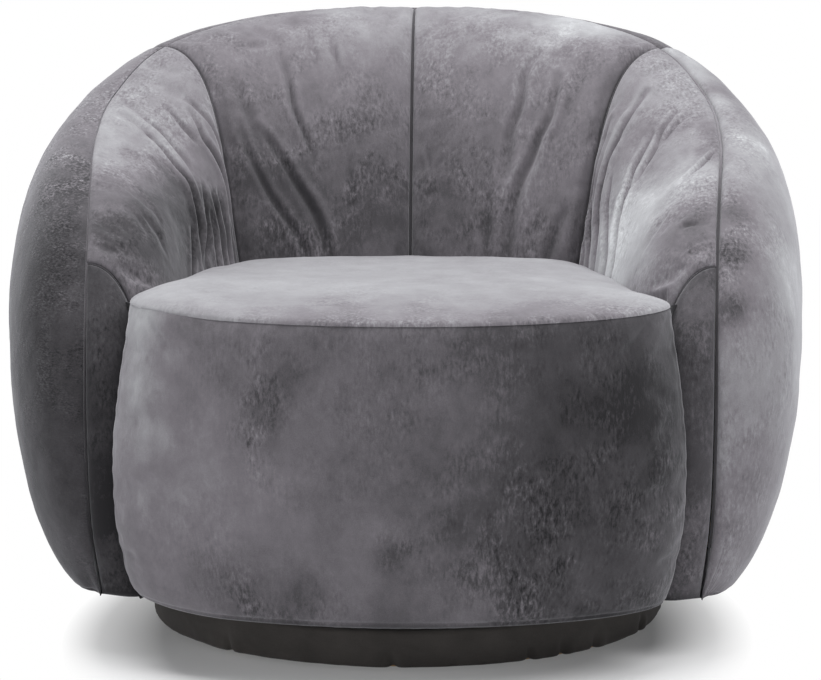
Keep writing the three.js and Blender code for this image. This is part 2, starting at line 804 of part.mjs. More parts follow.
function coverSolid(columns) {
  const first = columns[0];
  const last = columns[columns.length - 1];
  const seen = (place, t) => coverPoint(place, t, first, last);
  const hidden = (place, t) => coverInner(place, t, 0);
  const grid = (pointAt) => shellGrid(columns, coverRows, pointAt, softGap * half);
  return gridSolid(grid(seen), grid(hidden));
}

const sides = [
  ['left', -1],
  ['right', 1],
];

function buildPads() {
  for (const [name, side] of sides) {
    const back = padSolid(backStations, side, padThickness, padCrown);
    addPart(seatBody, `back_pad_${name}`, back, velvet);
    const wing = padSolid(wingStations, side, padThickness, padCrown);
    addPart(seatBody, `wing_pad_${name}`, wing, velvetLight);
    const armFront = padSolid(armStations, side, armFrontThickness, armFrontCrown);
    addPart(seatBody, `arm_front_${name}`, armFront, velvetDark);
    const outerStations = [...wingStations, ...armStations.slice(1)];
    const outer = coverSolid(shiftedStations(outerStations, side));
    addPart(seatBody, `outer_cover_${name}`, outer, velvetDark);
  }
  const acrossBack = [...backStations.map((place) => -place).reverse(), ...backStations.slice(1)];
  addPart(seatBody, 'outer_cover_back', coverSolid(shiftedStations(acrossBack, 1)), velvetDark);
}

// Seat: its wall follows the pads, and its front edge meets the fascia at the seam

function padSpan(place) {
  const steps = Math.abs(place);
  const side = Math.sign(place) || 1;
  if (steps <= backSeamShare) {
    return [0, side * backSeamShare, padCrown];
  }
  if (steps <= armSeamShare) {
    return [side * backSeamShare, side * armSeamShare, padCrown];
  }
  return [side * armSeamShare, side, armFrontCrown];
}

// The point of a pad's face at a height, moved a little towards the middle of the seat
function padWallPoint(place, height, gap) {
  const [first, last, crown] = padSpan(place);
  const usedPlace = place || seamShiftShare;
  let low = 0;
  let high = 1;
  for (let step = 0; step < searchSteps; step += 1) {
    const middle = (low + high) * half;
    if (padPoint(usedPlace, middle, first, last, crown).z < height) {
      low = middle;
    } else {
      high = middle;
    }
  }
  const point = padPoint(usedPlace, low, first, last, crown);
  if (place === 0) {
    point.x = 0;
  }
  return towardsSeat(point, gap);
}

function towardsSeat(point, distance) {
  const inward = new THREE.Vector3(-point.x, -seatCentreReach - point.y, 0).normalize();
  return point.addScaledVector(inward, distance);
}

const besideSeat = wingStations.slice(1).filter((place) => place < seatEarShare);
const seatSideStations = [...backStations, ...besideSeat, seatEarShare];
const seatStations = [...seatSideStations.map((place) => -place).reverse(), ...seatSideStations.slice(1)];

function fasciaEdge(rise, inset, height) {
  const curve = fasciaCurve(rise, inset);
  return stations(1, -1, fasciaColumns).map((share) => {
    const [x, y] = curve(share);
    return new THREE.Vector3(x, y, height);
  });
}

function buildSeat() {
  const bottom = seatSeamHeight - seatTopThickness;
  const lowRing = [
    ...seatStations.map((place) => padWallPoint(place, bottom, seatPadGap).setZ(bottom)),
    ...fasciaEdge(1, fasciaThickness, bottom),
  ];
  const edgeRing = [
    ...seatStations.map((place) => padWallPoint(place, seatWallHeight, seatPadGap).setZ(seatWallHeight)),
    ...fasciaEdge(1, 0, seatSeamHeight),
  ];
  const centre = new THREE.Vector3(0, -seatCentreReach, seatSeamHeight + seatCrown);
  const crownRings = seatRingShares.map((share) =>
    edgeRing.map((point) => {
      const inner = centre.clone().lerp(point, share);
      inner.z = THREE.MathUtils.lerp(point.z, centre.z, (1 - share ** seatCrownPower) ** half);
      return inner;
    }),
  );
  addPart(seatBody, 'seat_top', ringSolid([lowRing, edgeRing, ...crownRings]), velvetLight);
  const webTop = railTopHeight + 2 * (webThickness + fitGap);
  const foamBottom = webTop + fitGap;
  const outline = [
    ...seatStations.map((place) => towardsSeat(innerFoot(place), padCrown + foamInset)),
    ...fasciaEdge(0, fasciaThickness + foamInset, 0),
  ];
  const core = plate(flatOutline(outline), foamBottom, bottom - fitGap - foamBottom);
  addPart(seatBody, 'seat_foam', core, foam);
}

// Frame of the body

function ribRing(place) {
  const rows = range(ribRows).map((share) => share * ribTopShare);
  const outer = rows.map((t) => coverInner(place, t, ribCoverGap));
  const inner = rows.map((t) => padInner(place, t, padThickness, ribPadGap)).reverse();
  const down = inner[inner.length - 1].clone().setZ(undersideHeight);
  return [...outer, ...inner, down];
}

function ribSolid(place, cutters) {
  const rings = stations(place - ribSpanShare, place + ribSpanShare, ribSteps).map(ribRing);
  const foot = innerFoot(place);
  const seam = rimPoint(place);
  const turn = Math.atan2(seam.y - foot.y, seam.x - foot.x);
  const slab = new THREE.BoxGeometry(overallWidth, ribThickness, rimHeight);
  slab.rotateZ(turn);
  slab.translate((foot.x + seam.x) * half, (foot.y + seam.y) * half, frameBottom + rimHeight * half);
  return cutBy(keepWithin(ringSolid(rings), slab), cutters);
}

function ledgeOutline(grow) {
  const places = stations(-ledgeEndShare, ledgeEndShare, ledgeSteps);
  const line = (distance) =>
    places.map((place) => innerFoot(place).addScaledVector(shellFrame(place).behind, distance));
  return flatOutline([...line(ledgeSetIn - grow), ...line(ledgeWidth + grow).reverse()]);
}

function railCentre(place) {
  const middle = coverInner(place, ribTopShare, 0).add(padInner(place, ribTopShare, padThickness, 0));
  return middle.multiplyScalar(half).addScaledVector(shellFrame(place).away, topRailRadius + frameClear);
}

function railTube(radius, endPlace) {
  const path = new THREE.CatmullRomCurve3(stations(-endPlace, endPlace, railSteps).map(railCentre));
  const circle = new THREE.Shape().absarc(0, 0, radius, 0, fullTurn, false);
  return new THREE.ExtrudeGeometry(circle, {
    steps: railSteps,
    bevelEnabled: false,
    curveSegments: railSides,
    extrudePath: path,
  });
}

// The base board stays clear of the arm fronts: it steps in behind each of them
function armCorners(side, grow) {
  const place = side;
  const frame = shellFrame(place);
  const clear = frameClear * 2 + grow;
  const seamCorner = rimPoint(place).addScaledVector(frame.away, -rimSeamDepth);
  const footCorner = innerFoot(place).addScaledVector(frame.behind, armFrontThickness);
  const back = Math.max(seamCorner.y, footCorner.y) + clear;
  const inside = innerFoot(place).x - side * clear;
  return [
    new THREE.Vector3(seamCorner.x, back, 0),
    new THREE.Vector3(inside, back, 0),
    new THREE.Vector3(inside, innerFoot(place).y, 0),
  ];
}

function baseOutline(grow) {
  const places = stations(-boardEndShare, boardEndShare, ledgeSteps);
  const sideLine = places.map((place) =>
    outerFoot(place).addScaledVector(shellFrame(place).outward, -coverThickness - frameClear - grow),
  );
  const frontLine = fasciaEdge(0, fasciaThickness + frameClear + grow, 0);
  const rightCorners = armCorners(1, grow);
  const leftCorners = armCorners(-1, grow).reverse();
  return flatOutline([...sideLine, ...rightCorners, ...frontLine, ...leftCorners]);
}

// How far forward the curve behind the fascia lies at a distance from the middle
function fasciaReachAt(inset, x) {
  const angle = Math.asin(x / (fasciaBottomHalfWidth - inset));
  return fasciaCurve(0, inset)(angle / rightAngle)[1];
}

function buildFrame() {
  const holeRadius = pivotHeadRadius + fitGap * 2;
  const holeHeight = baseBoardThickness + 2 * cutOverrun;
  const centreHole = disc(holeRadius, baseBoardBottom - cutOverrun, holeHeight, smallSides * 2);
  const boltHoles = boltCorners.map(([sx, sy]) =>
    discAt(
      sx * boltPlace,
      sy * boltPlace,
      boltRadius + fitGap,
      baseBoardBottom - cutOverrun,
      boltShankLength + cutOverrun - swivelPlateThickness + fitGap,
    ),
  );
  const board = plate(baseOutline(0), baseBoardBottom, baseBoardThickness);
  addPart(seatBody, 'base_board', cutBy(board, [centreHole, ...boltHoles]), plywood);
  const clothBottom = baseBoardBottom - fitGap - undersideClothThickness;
  const cloth = plate(baseOutline(frameClear), clothBottom, undersideClothThickness);
  const clothHoleHeight = undersideClothThickness + 2 * cutOverrun;
  const clothHole = disc(undersideClothHoleRadius, clothBottom - cutOverrun, clothHoleHeight);
  addPart(seatBody, 'underside_cloth', cutBy(cloth, [clothHole]), blackCloth);

  const railHeight = railTopHeight - frameBottom;
  const panelOuter = fasciaEdge(0, fasciaThickness + frameClear, 0);
  const panelInner = fasciaEdge(0, fasciaThickness + frameClear + frontPanelThickness, 0).reverse();
  const panel = plate(flatOutline([...panelOuter, ...panelInner]), frameBottom, railHeight);
  addPart(seatBody, 'front_panel', panel, plywood);

  const backFace = backRailPlace - railThickness * half - fitGap;
  const panelInset = fasciaThickness + frontPanelThickness + 2 * frameClear;
  const frontFace = fasciaReachAt(panelInset, sideRailPlace + railThickness * half);
  const sideLength = backFace - frontFace;
  for (const [name, side] of sides) {
    const railBlock = block(railThickness, sideLength, railHeight);
    const rail = addPart(seatBody, `side_rail_${name}`, railBlock, plywood);
    rail.position.set(side * sideRailPlace, frontFace + sideLength * half, frameBottom);
  }
  const backLength = 2 * sideRailPlace + railThickness;
  const backRail = addPart(seatBody, 'back_rail', block(backLength, railThickness, railHeight), plywood);
  backRail.position.set(0, backRailPlace, frameBottom);

  const ledgeBottom = padLedgeHeight - fitGap - ledgeThickness;
  addPart(seatBody, 'pad_ledge', plate(ledgeOutline(0), ledgeBottom, ledgeThickness), plywood);
  const ledgeCutter = plate(ledgeOutline(fitGap), ledgeBottom - fitGap, ledgeThickness + 2 * fitGap);
  const railCutter = railTube(topRailRadius + fitGap, railEndShare);
  const cutters = [ledgeCutter, railCutter];
  addPart(seatBody, 'back_rib_centre', ribSolid(0, cutters), plywood);
  for (const [name, side] of sides) {
    addPart(seatBody, `corner_rib_${name}`, ribSolid(side * cornerRibShare, cutters), plywood);
    addPart(seatBody, `arm_rib_${name}`, ribSolid(side * armRibShare, cutters), plywood);
    const postBlock = block(armPostWidth, armPostDepth, armPostTop - frameBottom);
    const post = addPart(seatBody, `arm_post_${name}`, postBlock, plywood);
    post.position.set(side * armPostPlaceX, -armPostPlaceY, frameBottom);
  }
  addPart(seatBody, 'top_rail', railTube(topRailRadius, railEndShare), steel);
}

function buildWebbing() {
  const lowBottom = railTopHeight + fitGap;
  const highBottom = lowBottom + webThickness + fitGap;
  const crossLength = 2 * sideRailPlace + railThickness;
  for (let i = 0; i < crossWebCount; i += 1) {
    const strapBlock = block(crossLength, webWidth, webThickness);
    const strap = addPart(seatBody, `cross_web_${i + 1}`, strapBlock, webbing);
    strap.position.set(0, crossWebFirst + i * crossWebPitch, lowBottom);
  }
  for (let i = 0; i < longWebCount; i += 1) {
    const x = (i - (longWebCount - 1) * half) * longWebPitch;
    const front = fasciaReachAt(fasciaThickness + frameClear, Math.abs(x) + webWidth * half);
    const back = backRailPlace + railThickness * half;
    const length = back - front;
    const strapBlock = block(webWidth, length, webThickness);
    const strap = addPart(seatBody, `long_web_${i + 1}`, strapBlock, webbing);
    strap.position.set(x, front + length * half, highBottom);
  }
}

buildPlinth();
buildSwivel();
buildFascia();
buildPads();
buildSeat();
buildFrame();
buildWebbing();

export default chair;
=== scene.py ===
"""Swivel cuddle chair: a wide round-backed armchair in grey crushed velvet on a cloth-wrapped plinth.

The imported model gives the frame. The pads, covers, cushion and cloths are modelled here over it, in
metres, +Z up, with the chair facing -Y.
"""
import json
import logging
import math
from collections.abc import Iterable
from dataclasses import dataclass, field, replace
from enum import Enum

import bpy
import numpy as np
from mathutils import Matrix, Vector


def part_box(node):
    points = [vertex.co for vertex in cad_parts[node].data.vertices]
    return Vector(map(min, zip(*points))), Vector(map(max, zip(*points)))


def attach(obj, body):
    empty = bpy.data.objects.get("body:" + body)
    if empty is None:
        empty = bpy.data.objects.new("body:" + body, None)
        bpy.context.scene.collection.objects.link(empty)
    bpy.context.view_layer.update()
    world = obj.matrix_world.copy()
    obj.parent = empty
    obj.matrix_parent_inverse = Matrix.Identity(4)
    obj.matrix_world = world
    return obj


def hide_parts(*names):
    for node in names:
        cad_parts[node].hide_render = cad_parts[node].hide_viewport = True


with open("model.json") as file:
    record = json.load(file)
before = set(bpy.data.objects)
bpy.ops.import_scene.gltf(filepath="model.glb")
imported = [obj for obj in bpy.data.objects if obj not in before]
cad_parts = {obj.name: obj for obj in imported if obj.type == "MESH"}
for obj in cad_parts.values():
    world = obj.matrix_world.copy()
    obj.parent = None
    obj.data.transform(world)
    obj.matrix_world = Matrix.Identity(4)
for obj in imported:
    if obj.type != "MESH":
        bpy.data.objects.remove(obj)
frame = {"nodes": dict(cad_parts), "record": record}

log = logging.getLogger("cuddle_chair")
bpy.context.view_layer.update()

Array = np.ndarray
Colour = tuple[float, float, float]
Triple = tuple[float, float, float]
Plan = tuple[float, float]
Edges = tuple[float, float, float, float]
Stops = tuple[tuple[float, Colour], ...]
Values = tuple[float, ...]
Settings = tuple[tuple[str, float | Values], ...]
Faces = list[tuple[int, ...]]
Piece = bpy.types.Object
Material = bpy.types.Material
Socket = bpy.types.NodeSocket
RIGHT_ANGLE = math.pi / 2
MM = 0.001


class Side(Enum):
    """The two sides of the chair, as the sign of X."""

    LEFT = -1
    RIGHT = 1

    @property
    def word(self) -> str:
        """The side's name as it stands in a node's name."""
        return self.name.lower()

    def span(self, near: float, far: float) -> Plan:
        """Two places along the rim on this side, the lower one first."""
        return tuple(sorted((self.value * near, self.value * far)))


class Layer(Enum):
    """Which skin of the shell a panel belongs to, as the sign of its seen face."""

    PAD = 1
    COVER = -1


# Noise and small geometry helpers


def lattice_noise(points: Array, seed: int) -> Array:
    """Smooth noise between -1 and 1 on a unit lattice.

    Args:
        points: places, with three numbers in the last axis.
        seed: which pattern.

    Returns:
        One value per place.
    """
    cell = np.floor(points).astype(np.int64)
    part = points - cell
    ease = part * part * part * (part * (part * 6 - 15) + 10)

    def corner(dx: int, dy: int, dz: int) -> Array:
        """Value at one corner of each place's cell."""
        mixed = (cell[..., 0] + dx) * 374761393 + (cell[..., 1] + dy) * 668265263
        mixed = (mixed + (cell[..., 2] + dz) * 2246822519 + seed * 3266489917) & 0xFFFFFFFF
        mixed = ((mixed ^ (mixed >> 13)) * 1274126177) & 0xFFFFFFFF
        return ((mixed ^ (mixed >> 16)) & 0xFFFF) / 32767.5 - 1

    total = np.zeros(points.shape[:-1])
    for dx in (0, 1):
        for dy in (0, 1):
            for dz in (0, 1):
                weight = np.ones(points.shape[:-1])
                for axis, step in enumerate((dx, dy, dz)):
                    weight = weight * (ease[..., axis] if step else 1 - ease[..., axis])
                total = total + weight * corner(dx, dy, dz)
    return total


def fractal(points: Array, size: float, octaves: int, seed: int) -> Array:
    """Layered noise whose largest lumps are about one size across.

    Args:
        points: places in metres.
        size: width of the largest lumps in metres.
        octaves: how many layers, each half as large as the last.
        seed: which pattern.

    Returns:
        One value per place, about -1 to 1.
    """
    total = np.zeros(points.shape[:-1])
    for octave in range(octaves):
        total += lattice_noise(points * (2**octave / size), seed + octave) * 0.5**octave
    return total


def unit(vectors: Array) -> Array:
    """Vectors of length one along the given ones."""
    return vectors / np.maximum(np.linalg.norm(vectors, axis=-1, keepdims=True), 1e-12)


def grid_normals(grid: Array) -> Array:
    """Unit normals of a grid of points, by rows crossed with columns."""
    return unit(np.cross(np.gradient(grid, axis=1), np.gradient(grid, axis=0)))


def run_lengths(grid: Array, axis: int) -> Array:
    """Length travelled along one axis of a grid, from its first row or column."""
    steps = np.linalg.norm(np.diff(grid, axis=axis), axis=-1)
    first = np.zeros_like(np.take(steps, [0], axis=axis))
    return np.concatenate([first, np.cumsum(steps, axis=axis)], axis=axis)


def refine_matrix(count: int, finer: int) -> Array:
    """Weights that carry values on even stations to more of them, along smooth curves.

    Args:
        count: how many stations there are.
        finer: how many there will be.

    Returns:
        A matrix of finer rows and count columns.
    """
    place = np.linspace(0, count - 1, finer)
    cell = np.clip(np.floor(place).astype(int), 0, count - 2)
    t = place - cell
    weights = np.zeros((finer, count))
    shares = (
        -0.5 * t + t**2 - 0.5 * t**3,
        1 - 2.5 * t**2 + 1.5 * t**3,
        0.5 * t + 2 * t**2 - 1.5 * t**3,
        -0.5 * t**2 + 0.5 * t**3,
    )
    for step, share in zip((-1, 0, 1, 2), shares):
        column = np.clip(cell + step, 0, count - 1)
        np.add.at(weights, (np.arange(finer), column), share)
    return weights


def closed_faces(rows: int, columns: int) -> Faces:
    """Faces of a closed pad made of a seen grid and a hidden grid of the same size.

    Args:
        rows: rows of each grid.
        columns: columns of each grid.

    Returns:
        Quads: the seen grid, the hidden grid the other way round, and the four edge walls.
    """
    index = np.arange(rows * columns).reshape(rows, columns)
    back = index + rows * columns

    def quads(*corners: Array) -> Faces:
        """Quads from four arrays of corners."""
        return [tuple(quad) for quad in np.stack([c.ravel() for c in corners], -1).tolist()]

    faces = quads(index[:-1, :-1], index[:-1, 1:], index[1:, 1:], index[1:, :-1])
    faces += quads(back[:-1, :-1], back[1:, :-1], back[1:, 1:], back[:-1, 1:])
    faces += quads(index[0, :-1], back[0, :-1], back[0, 1:], index[0, 1:])
    faces += quads(index[-1, :-1], index[-1, 1:], back[-1, 1:], back[-1, :-1])
    faces += quads(index[:-1, 0], index[1:, 0], back[1:, 0], back[:-1, 0])
    faces += quads(index[:-1, -1], back[:-1, -1], back[1:, -1], index[1:, -1])
    return faces


def ring_faces(rings: int, around: int) -> Faces:
    """Side quads of stacked closed rings.

    Args:
        rings: how many rings.
        around: points in each.

    Returns:
        Quads from the first ring to the last.
    """
    faces = []
    for ring in range(rings - 1):
        for i in range(around):
            j = (i + 1) % around
            here, there = ring * around, (ring + 1) * around
            faces.append((here + i, here + j, there + j, there + i))
    return faces


def capped_faces(rings: int, around: int) -> Faces:
    """Faces of stacked rings closed by two middle points, the last ring's and then the first ring's.

    Args:
        rings: how many rings.
        around: points in each.

    Returns:
        Side quads and two fans of triangles.
    """
    start, apex = (rings - 1) * around, rings * around
    faces = ring_faces(rings, around)
    for i in range(around):
        j = (i + 1) % around
        faces.append((start + i, start + j, apex))
        faces.append((j, i, apex + 1))
    return faces


def lined_faces(rings: int, around: int) -> Faces:
    """Faces of a closed round cloth: rings of its outer face, then as many of its inner face.

    Args:
        rings: rings of each face.
        around: points in each.

    Returns:
        Quads of both faces and of both edges.
    """
    size, last = rings * around, (rings - 1) * around
    faces = ring_faces(rings, around)
    faces += [tuple(reversed([size + i for i in face])) for face in faces]
    for i in range(around):
        j = (i + 1) % around
        faces.append((j, i, size + i, size + j))
        faces.append((last + i, last + j, size + last + j, size + last + i))
    return faces


def face_out(points: Array, faces: Faces) -> Faces:
    """The faces, turned round if they enclose the points inside out.

    Args:
        points: the points.
        faces: closed faces over them.

    Returns:
        The same faces, all facing outward.
    """
    fan = np.array([(f[0], f[1], f[2]) for f in faces])
    corners = points[fan]
    volume = np.einsum("ij,ij->i", corners[:, 0], np.cross(corners[:, 1], corners[:, 2])).sum()
    return faces if volume > 0 else [tuple(reversed(f)) for f in faces]


def both_faces(seen: Array, hidden: Array) -> Array:
    """All points of a closed pad or cloth: those of the seen face, then those of the hidden one."""
    return np.concatenate([seen.reshape(-1, 3), hidden.reshape(-1, 3)])


def full_turn(count: int) -> Array:
    """Even directions all the way round, in radians."""
    return np.linspace(0, 2 * np.pi, count, endpoint=False)


def round_points(angles: Array, radius: Array, height: Array | float, centre: Plan = (0.0, 0.0)) -> Array:
    """Points at some directions, distances and heights round an upright axis."""
    x, y = centre[0] + radius * np.cos(angles), centre[1] + radius * np.sin(angles)
    return np.stack([x, y, np.broadcast_to(height, x.shape)], -1)


def spread(move: Array, rows: int, columns: int) -> Array:
    """Moves of a coarse grid's points, carried over to a finer grid along smooth curves."""
    heighten, widen = refine_matrix(move.shape[0], rows), refine_matrix(move.shape[1], columns)
    return np.einsum("ri,ijk,cj->rck", heighten, move, widen)


def add_object(name: str, data: bpy.types.ID) -> Piece:
    """A new object with the given data, linked to the scene."""
    thing = bpy.data.objects.new(name, data)
    bpy.context.scene.collection.objects.link(thing)
    return thing


def make_piece(name: str, points: Array, faces: Faces, finish: Material, crease: float = 55) -> Piece:
    """A smooth mesh object with one finish.

    Args:
        name: the piece's name.
        points: its points in metres.
        faces: its faces.
        finish: its material.
        crease: degrees between faces above which an edge stays sharp.

    Returns:
        The new object, linked to the scene.
    """
    mesh = bpy.data.meshes.new(name)
    mesh.from_pydata(points.tolist(), [], face_out(points, faces))
    mesh.validate()
    mesh.shade_smooth()
    mesh.set_sharp_from_angle(angle=math.radians(crease))
    mesh.materials.append(finish)
    return add_object(name, mesh)


def set_pile_and_shade(piece: Piece, tone: Array, crush: Array) -> None:
    """Stores how light the pile is at each point, painted shade included where the caller adds it, and how
    strongly it is crushed into strokes.
    """
    for name, values in (("nap_and_shade", tone), ("crush", crush)):
        layer = piece.data.attributes.new(name, "FLOAT", "POINT")
        layer.data.foreach_set("value", np.ascontiguousarray(values, dtype=np.float32).ravel())


def settle(piece: Piece, body: str, replaces: tuple[str, ...] = ()) -> None:
    """Puts a finished piece on its body and hides the nodes that it stands for.

    Args:
        piece: the finished piece.
        body: the body it moves with.
        replaces: nodes that it stands for.
    """
    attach(piece, body)
    if replaces:
        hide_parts(*replaces)
    log.info("%s: %d points on %s", piece.name, len(piece.data.vertices), body)


# Finishes


class Nodes:
    """Short calls for building a node tree."""

    def __init__(self, tree: bpy.types.NodeTree) -> None:
        """Works on one tree."""
        self.tree = tree

    def add(self, kind: str, settings: Settings = ()) -> bpy.types.Node:
        """A new node.

        Args:
            kind: the node's type.
            settings: input names and their values.

        Returns:
            The node.
        """
        node = self.tree.nodes.new(kind)
        for name, value in settings:
            node.inputs[name].default_value = value
        return node

    def join(self, source: Socket, target: Socket) -> None:
        """Links one socket to another."""
        self.tree.links.new(source, target)

    def maths(self, operation: str, *terms: Socket | float) -> Socket:
        """One step of arithmetic.

        Args:
            operation: the node's operation.
            terms: what it works on, sockets or numbers.

        Returns:
            Its result.
        """
        node = self.add("ShaderNodeMath")
        node.operation = operation
        for target, term in zip(node.inputs, terms):
            if isinstance(term, (int, float)):
                target.default_value = term
            else:
                self.join(term, target)
        return node.outputs[0]


@dataclass(frozen=True)
class Grain:
    """One layer of noise, with so many lumps to the metre, in a space that may be stretched and turned."""

    scale: float
    detail: float
    roughness: float = 0.6
    distortion: float = 0.0
    stretch: Triple | None = None
    turn: Triple = (0, 0, 0)


class Shader(Nodes):
    """A material's node tree, with short calls for what the finishes share."""

    def __init__(self, name: str) -> None:
        """Starts a material whose surface is one principled shader.

        Args:
            name: the material's name.
        """
        self.material = bpy.data.materials.new(name)
        self.material.use_nodes = True
        super().__init__(self.material.node_tree)
        self.surface = self.tree.nodes["Principled BSDF"]
        self.place = self.add("ShaderNodeTexCoord").outputs["Object"]

    def fix(self, settings: Settings) -> None:
        """Sets uniform values on the surface's own sockets."""
        for name, value in settings:
            self.surface.inputs[name].default_value = value

    def mapped(self, settings: Settings) -> Socket:
        """Object coordinates, moved, turned or stretched.

        Args:
            settings: the mapping's inputs.

        Returns:
            The new coordinates.
        """
        node = self.add("ShaderNodeMapping", settings)
        self.join(self.place, node.inputs["Vector"])
        return node.outputs["Vector"]

    def noise(self, grain: Grain) -> Socket:
        """A layer of noise.

        Args:
            grain: its scale and kind.

        Returns:
            Its value, from 0 to 1.
        """
        node = self.add("ShaderNodeTexNoise", (
            ("Scale", grain.scale), ("Detail", grain.detail), ("Roughness", grain.roughness),
            ("Distortion", grain.distortion)))
        vector = self.place
        if grain.stretch:
            vector = self.mapped((("Scale", grain.stretch), ("Rotation", grain.turn)))
        self.join(vector, node.inputs["Vector"])
        return node.outputs["Fac"]

    def sums(self, terms: Iterable[tuple[Socket, float]], start: float) -> Socket:
        """A start value plus each term times its weight.

        Args:
            terms: sockets and their weights, where a weight of 0 leaves a term out.
            start: the start value.

        Returns:
            The sum.
        """
        total: Socket | float = start
        for socket, weight in terms:
            if weight:
                total = self.maths("MULTIPLY_ADD", socket, weight, total)
        return total

    def ramp(self, value: Socket, stops: Stops) -> Socket:
        """A colour ramp.

        Args:
            value: what it runs over.
            stops: places from 0 to 1 and their colours.

        Returns:
            The colour.
        """
        node = self.add("ShaderNodeValToRGB")
        elements = node.color_ramp.elements
        while len(elements) < len(stops):
            elements.new(1.0)
        for element, (position, colour) in zip(elements, stops):
            element.position = position
            element.color = (*colour, 1.0)
        self.join(value, node.inputs["Fac"])
        return node.outputs["Color"]

    def colour(self, value: Socket, stops: Stops) -> None:
        """Colours the surface by a ramp over a value."""
        self.join(self.ramp(value, stops), self.surface.inputs["Base Color"])

    def attribute(self, name: str) -> Socket:
        """A value stored on the mesh.

        Args:
            name: the attribute's name.

        Returns:
            Its value at each point.
        """
        node = self.add("ShaderNodeAttribute")
        node.attribute_name = name
        return node.outputs["Fac"]

    def bump(self, height: Socket, strength: float, depth: float) -> None:
        """Raises the surface's grain.

        Args:
            height: how high each place stands.
            strength: how much of it shows.
            depth: metres from low to high.
        """
        node = self.add("ShaderNodeBump", (("Strength", strength), ("Distance", depth)))
        self.join(height, node.inputs["Height"])
        self.join(node.outputs["Normal"], self.surface.inputs["Normal"])


def linear(red: int, green: int, blue: int) -> Colour:
    """A colour seen on a screen as red, green and blue out of 255, in the shader's own scale."""
    return tuple(((c / 255 + 0.055) / 1.055) ** 2.4 for c in (red, green, blue))


def grey(level: float) -> Colour:
    """A plain grey."""
    return (level, level, level)


@dataclass(frozen=True)
class Velvet:
    """Crushed velvet: pile that lies this way and that, in soft clouds, small mottles and short strokes.

    The shares say how far each layer of grain changes the tone. Mottles are fainter where the pile
    is calm, and strokes show only where it is crushed, in patches.
    """

    name: str
    tones: tuple[Colour, ...] = (linear(34, 33, 35), linear(72, 70, 73), linear(116, 112, 117),
                                 linear(157, 157, 160), linear(204, 206, 208))
    broad: Grain = Grain(4.5, 2.0, 0.5)
    cloud: Grain = Grain(19.0, 5.0, 0.62, 0.15)
    mottle: Grain = Grain(70.0, 4.0, 0.66, 0.3, (1.0, 1.0, 0.7))
    stroke: Grain = Grain(240.0, 3.0, 0.66, 0.2, (1.0, 1.0, 0.4), (0.12, 0.1, 0.15))
    fibre: Grain = Grain(900.0, 1.0, 0.5)
    patchy: Grain = Grain(13.0, 4.0, 0.7, 0.5)
    patch_span: tuple[float, float] = (0.42, 0.62)
    patch_least: float = 0.12
    broad_share: float = 0.16
    cloud_share: float = 0.24
    mottle_share: float = 0.3
    stroke_share: float = 0.75
    fibre_share: float = 0.12
    calm_mottle: float = 0.4
    crushed_mottle: float = 0.5
    relief_shares: Triple = (0.9, 0.6, 0.15)
    relief: float = 0.45
    relief_depth: float = 1.6 * MM
    settings: Settings = (("Roughness", 0.88), ("Sheen Weight", 0.45), ("Sheen Roughness", 0.45),
                          ("Specular IOR Level", 0.1), ("Sheen Tint", (0.9, 0.9, 0.94, 1.0)))

    def build(self) -> Material:
        """The material: clouds, mottles and strokes in colour, and the same strokes raised a little.

        Returns:
            The finished material.
        """
        shader = Shader(self.name)
        layers = (self.broad, self.cloud, self.mottle, self.stroke, self.fibre, self.patchy)
        broad, cloud, mottle, stroke, fibre, patchy = (shader.noise(grain) for grain in layers)
        low, high = self.patch_span
        patchy = shader.ramp(patchy, ((low, grey(self.patch_least)), (high, grey(1))))
        crush = shader.maths("MULTIPLY", shader.attribute("crush"), patchy)
        crushed = shader.maths("MULTIPLY", shader.maths("ADD", stroke, -0.5), crush)
        mottling = shader.maths("MULTIPLY_ADD", crush, self.crushed_mottle, self.calm_mottle)
        mottled = shader.maths("MULTIPLY", shader.maths("ADD", mottle, -0.5), mottling)
        start = 0.5 - 0.5 * (self.broad_share + self.cloud_share + self.fibre_share)
        # The nap_and_shade attribute gives the pile's tone, with painted shade added along folds, hems, seams
        # and slots.
        tone = shader.sums([
            (shader.attribute("nap_and_shade"), 1.0), (broad, self.broad_share), (cloud, self.cloud_share),
            (mottled, self.mottle_share), (crushed, self.stroke_share), (fibre, self.fibre_share)], start)
        shader.colour(tone, tuple(zip(np.linspace(0, 1, len(self.tones)).tolist(), self.tones)))
        shader.fix(self.settings)
        height = shader.sums(zip((mottled, crushed, fibre), self.relief_shares), 0.0)
        shader.bump(height, self.relief, self.relief_depth)
        return shader.material


@dataclass(frozen=True)
class PlainFinish:
    """A finish between two tones, whose layers of grain show in its colour and in its relief.

    The shares say how far each layer changes the colour and the relief. The span says at which values
    the colour is quite dark and quite light.
    """

    name: str
    dark: Colour
    light: Colour
    layers: tuple[Grain, ...] = ()
    colour_shares: Values = ()
    relief_shares: Values = ()
    start: float = 0.0
    span: tuple[float, float] = (0.2, 0.8)
    relief: float = 0.0
    relief_depth: float = 0.0
    settings: Settings = ()

    def build(self) -> Material:
        """The finished material."""
        shader = Shader(self.name)
        grains = [shader.noise(grain) for grain in self.layers]
        tone = shader.sums(zip(grains, self.colour_shares), self.start)
        shader.colour(tone, tuple(zip(self.span, (self.dark, self.light))))
        shader.fix(self.settings)
        height = shader.sums(zip(grains, self.relief_shares), 0.0)
        shader.bump(height, self.relief, self.relief_depth)
        return shader.material


def weave(threads: float) -> tuple[Grain, ...]:
    """The grain of a woven cloth: cloudy wear, threads at so many to the metre, and slubs."""
    return Grain(16.0, 5.0, 0.6, 0.3), Grain(threads, 2.0, 0.5), Grain(90.0, 3.0, 0.6, 0.0, (1.0, 1.0, 7.0))


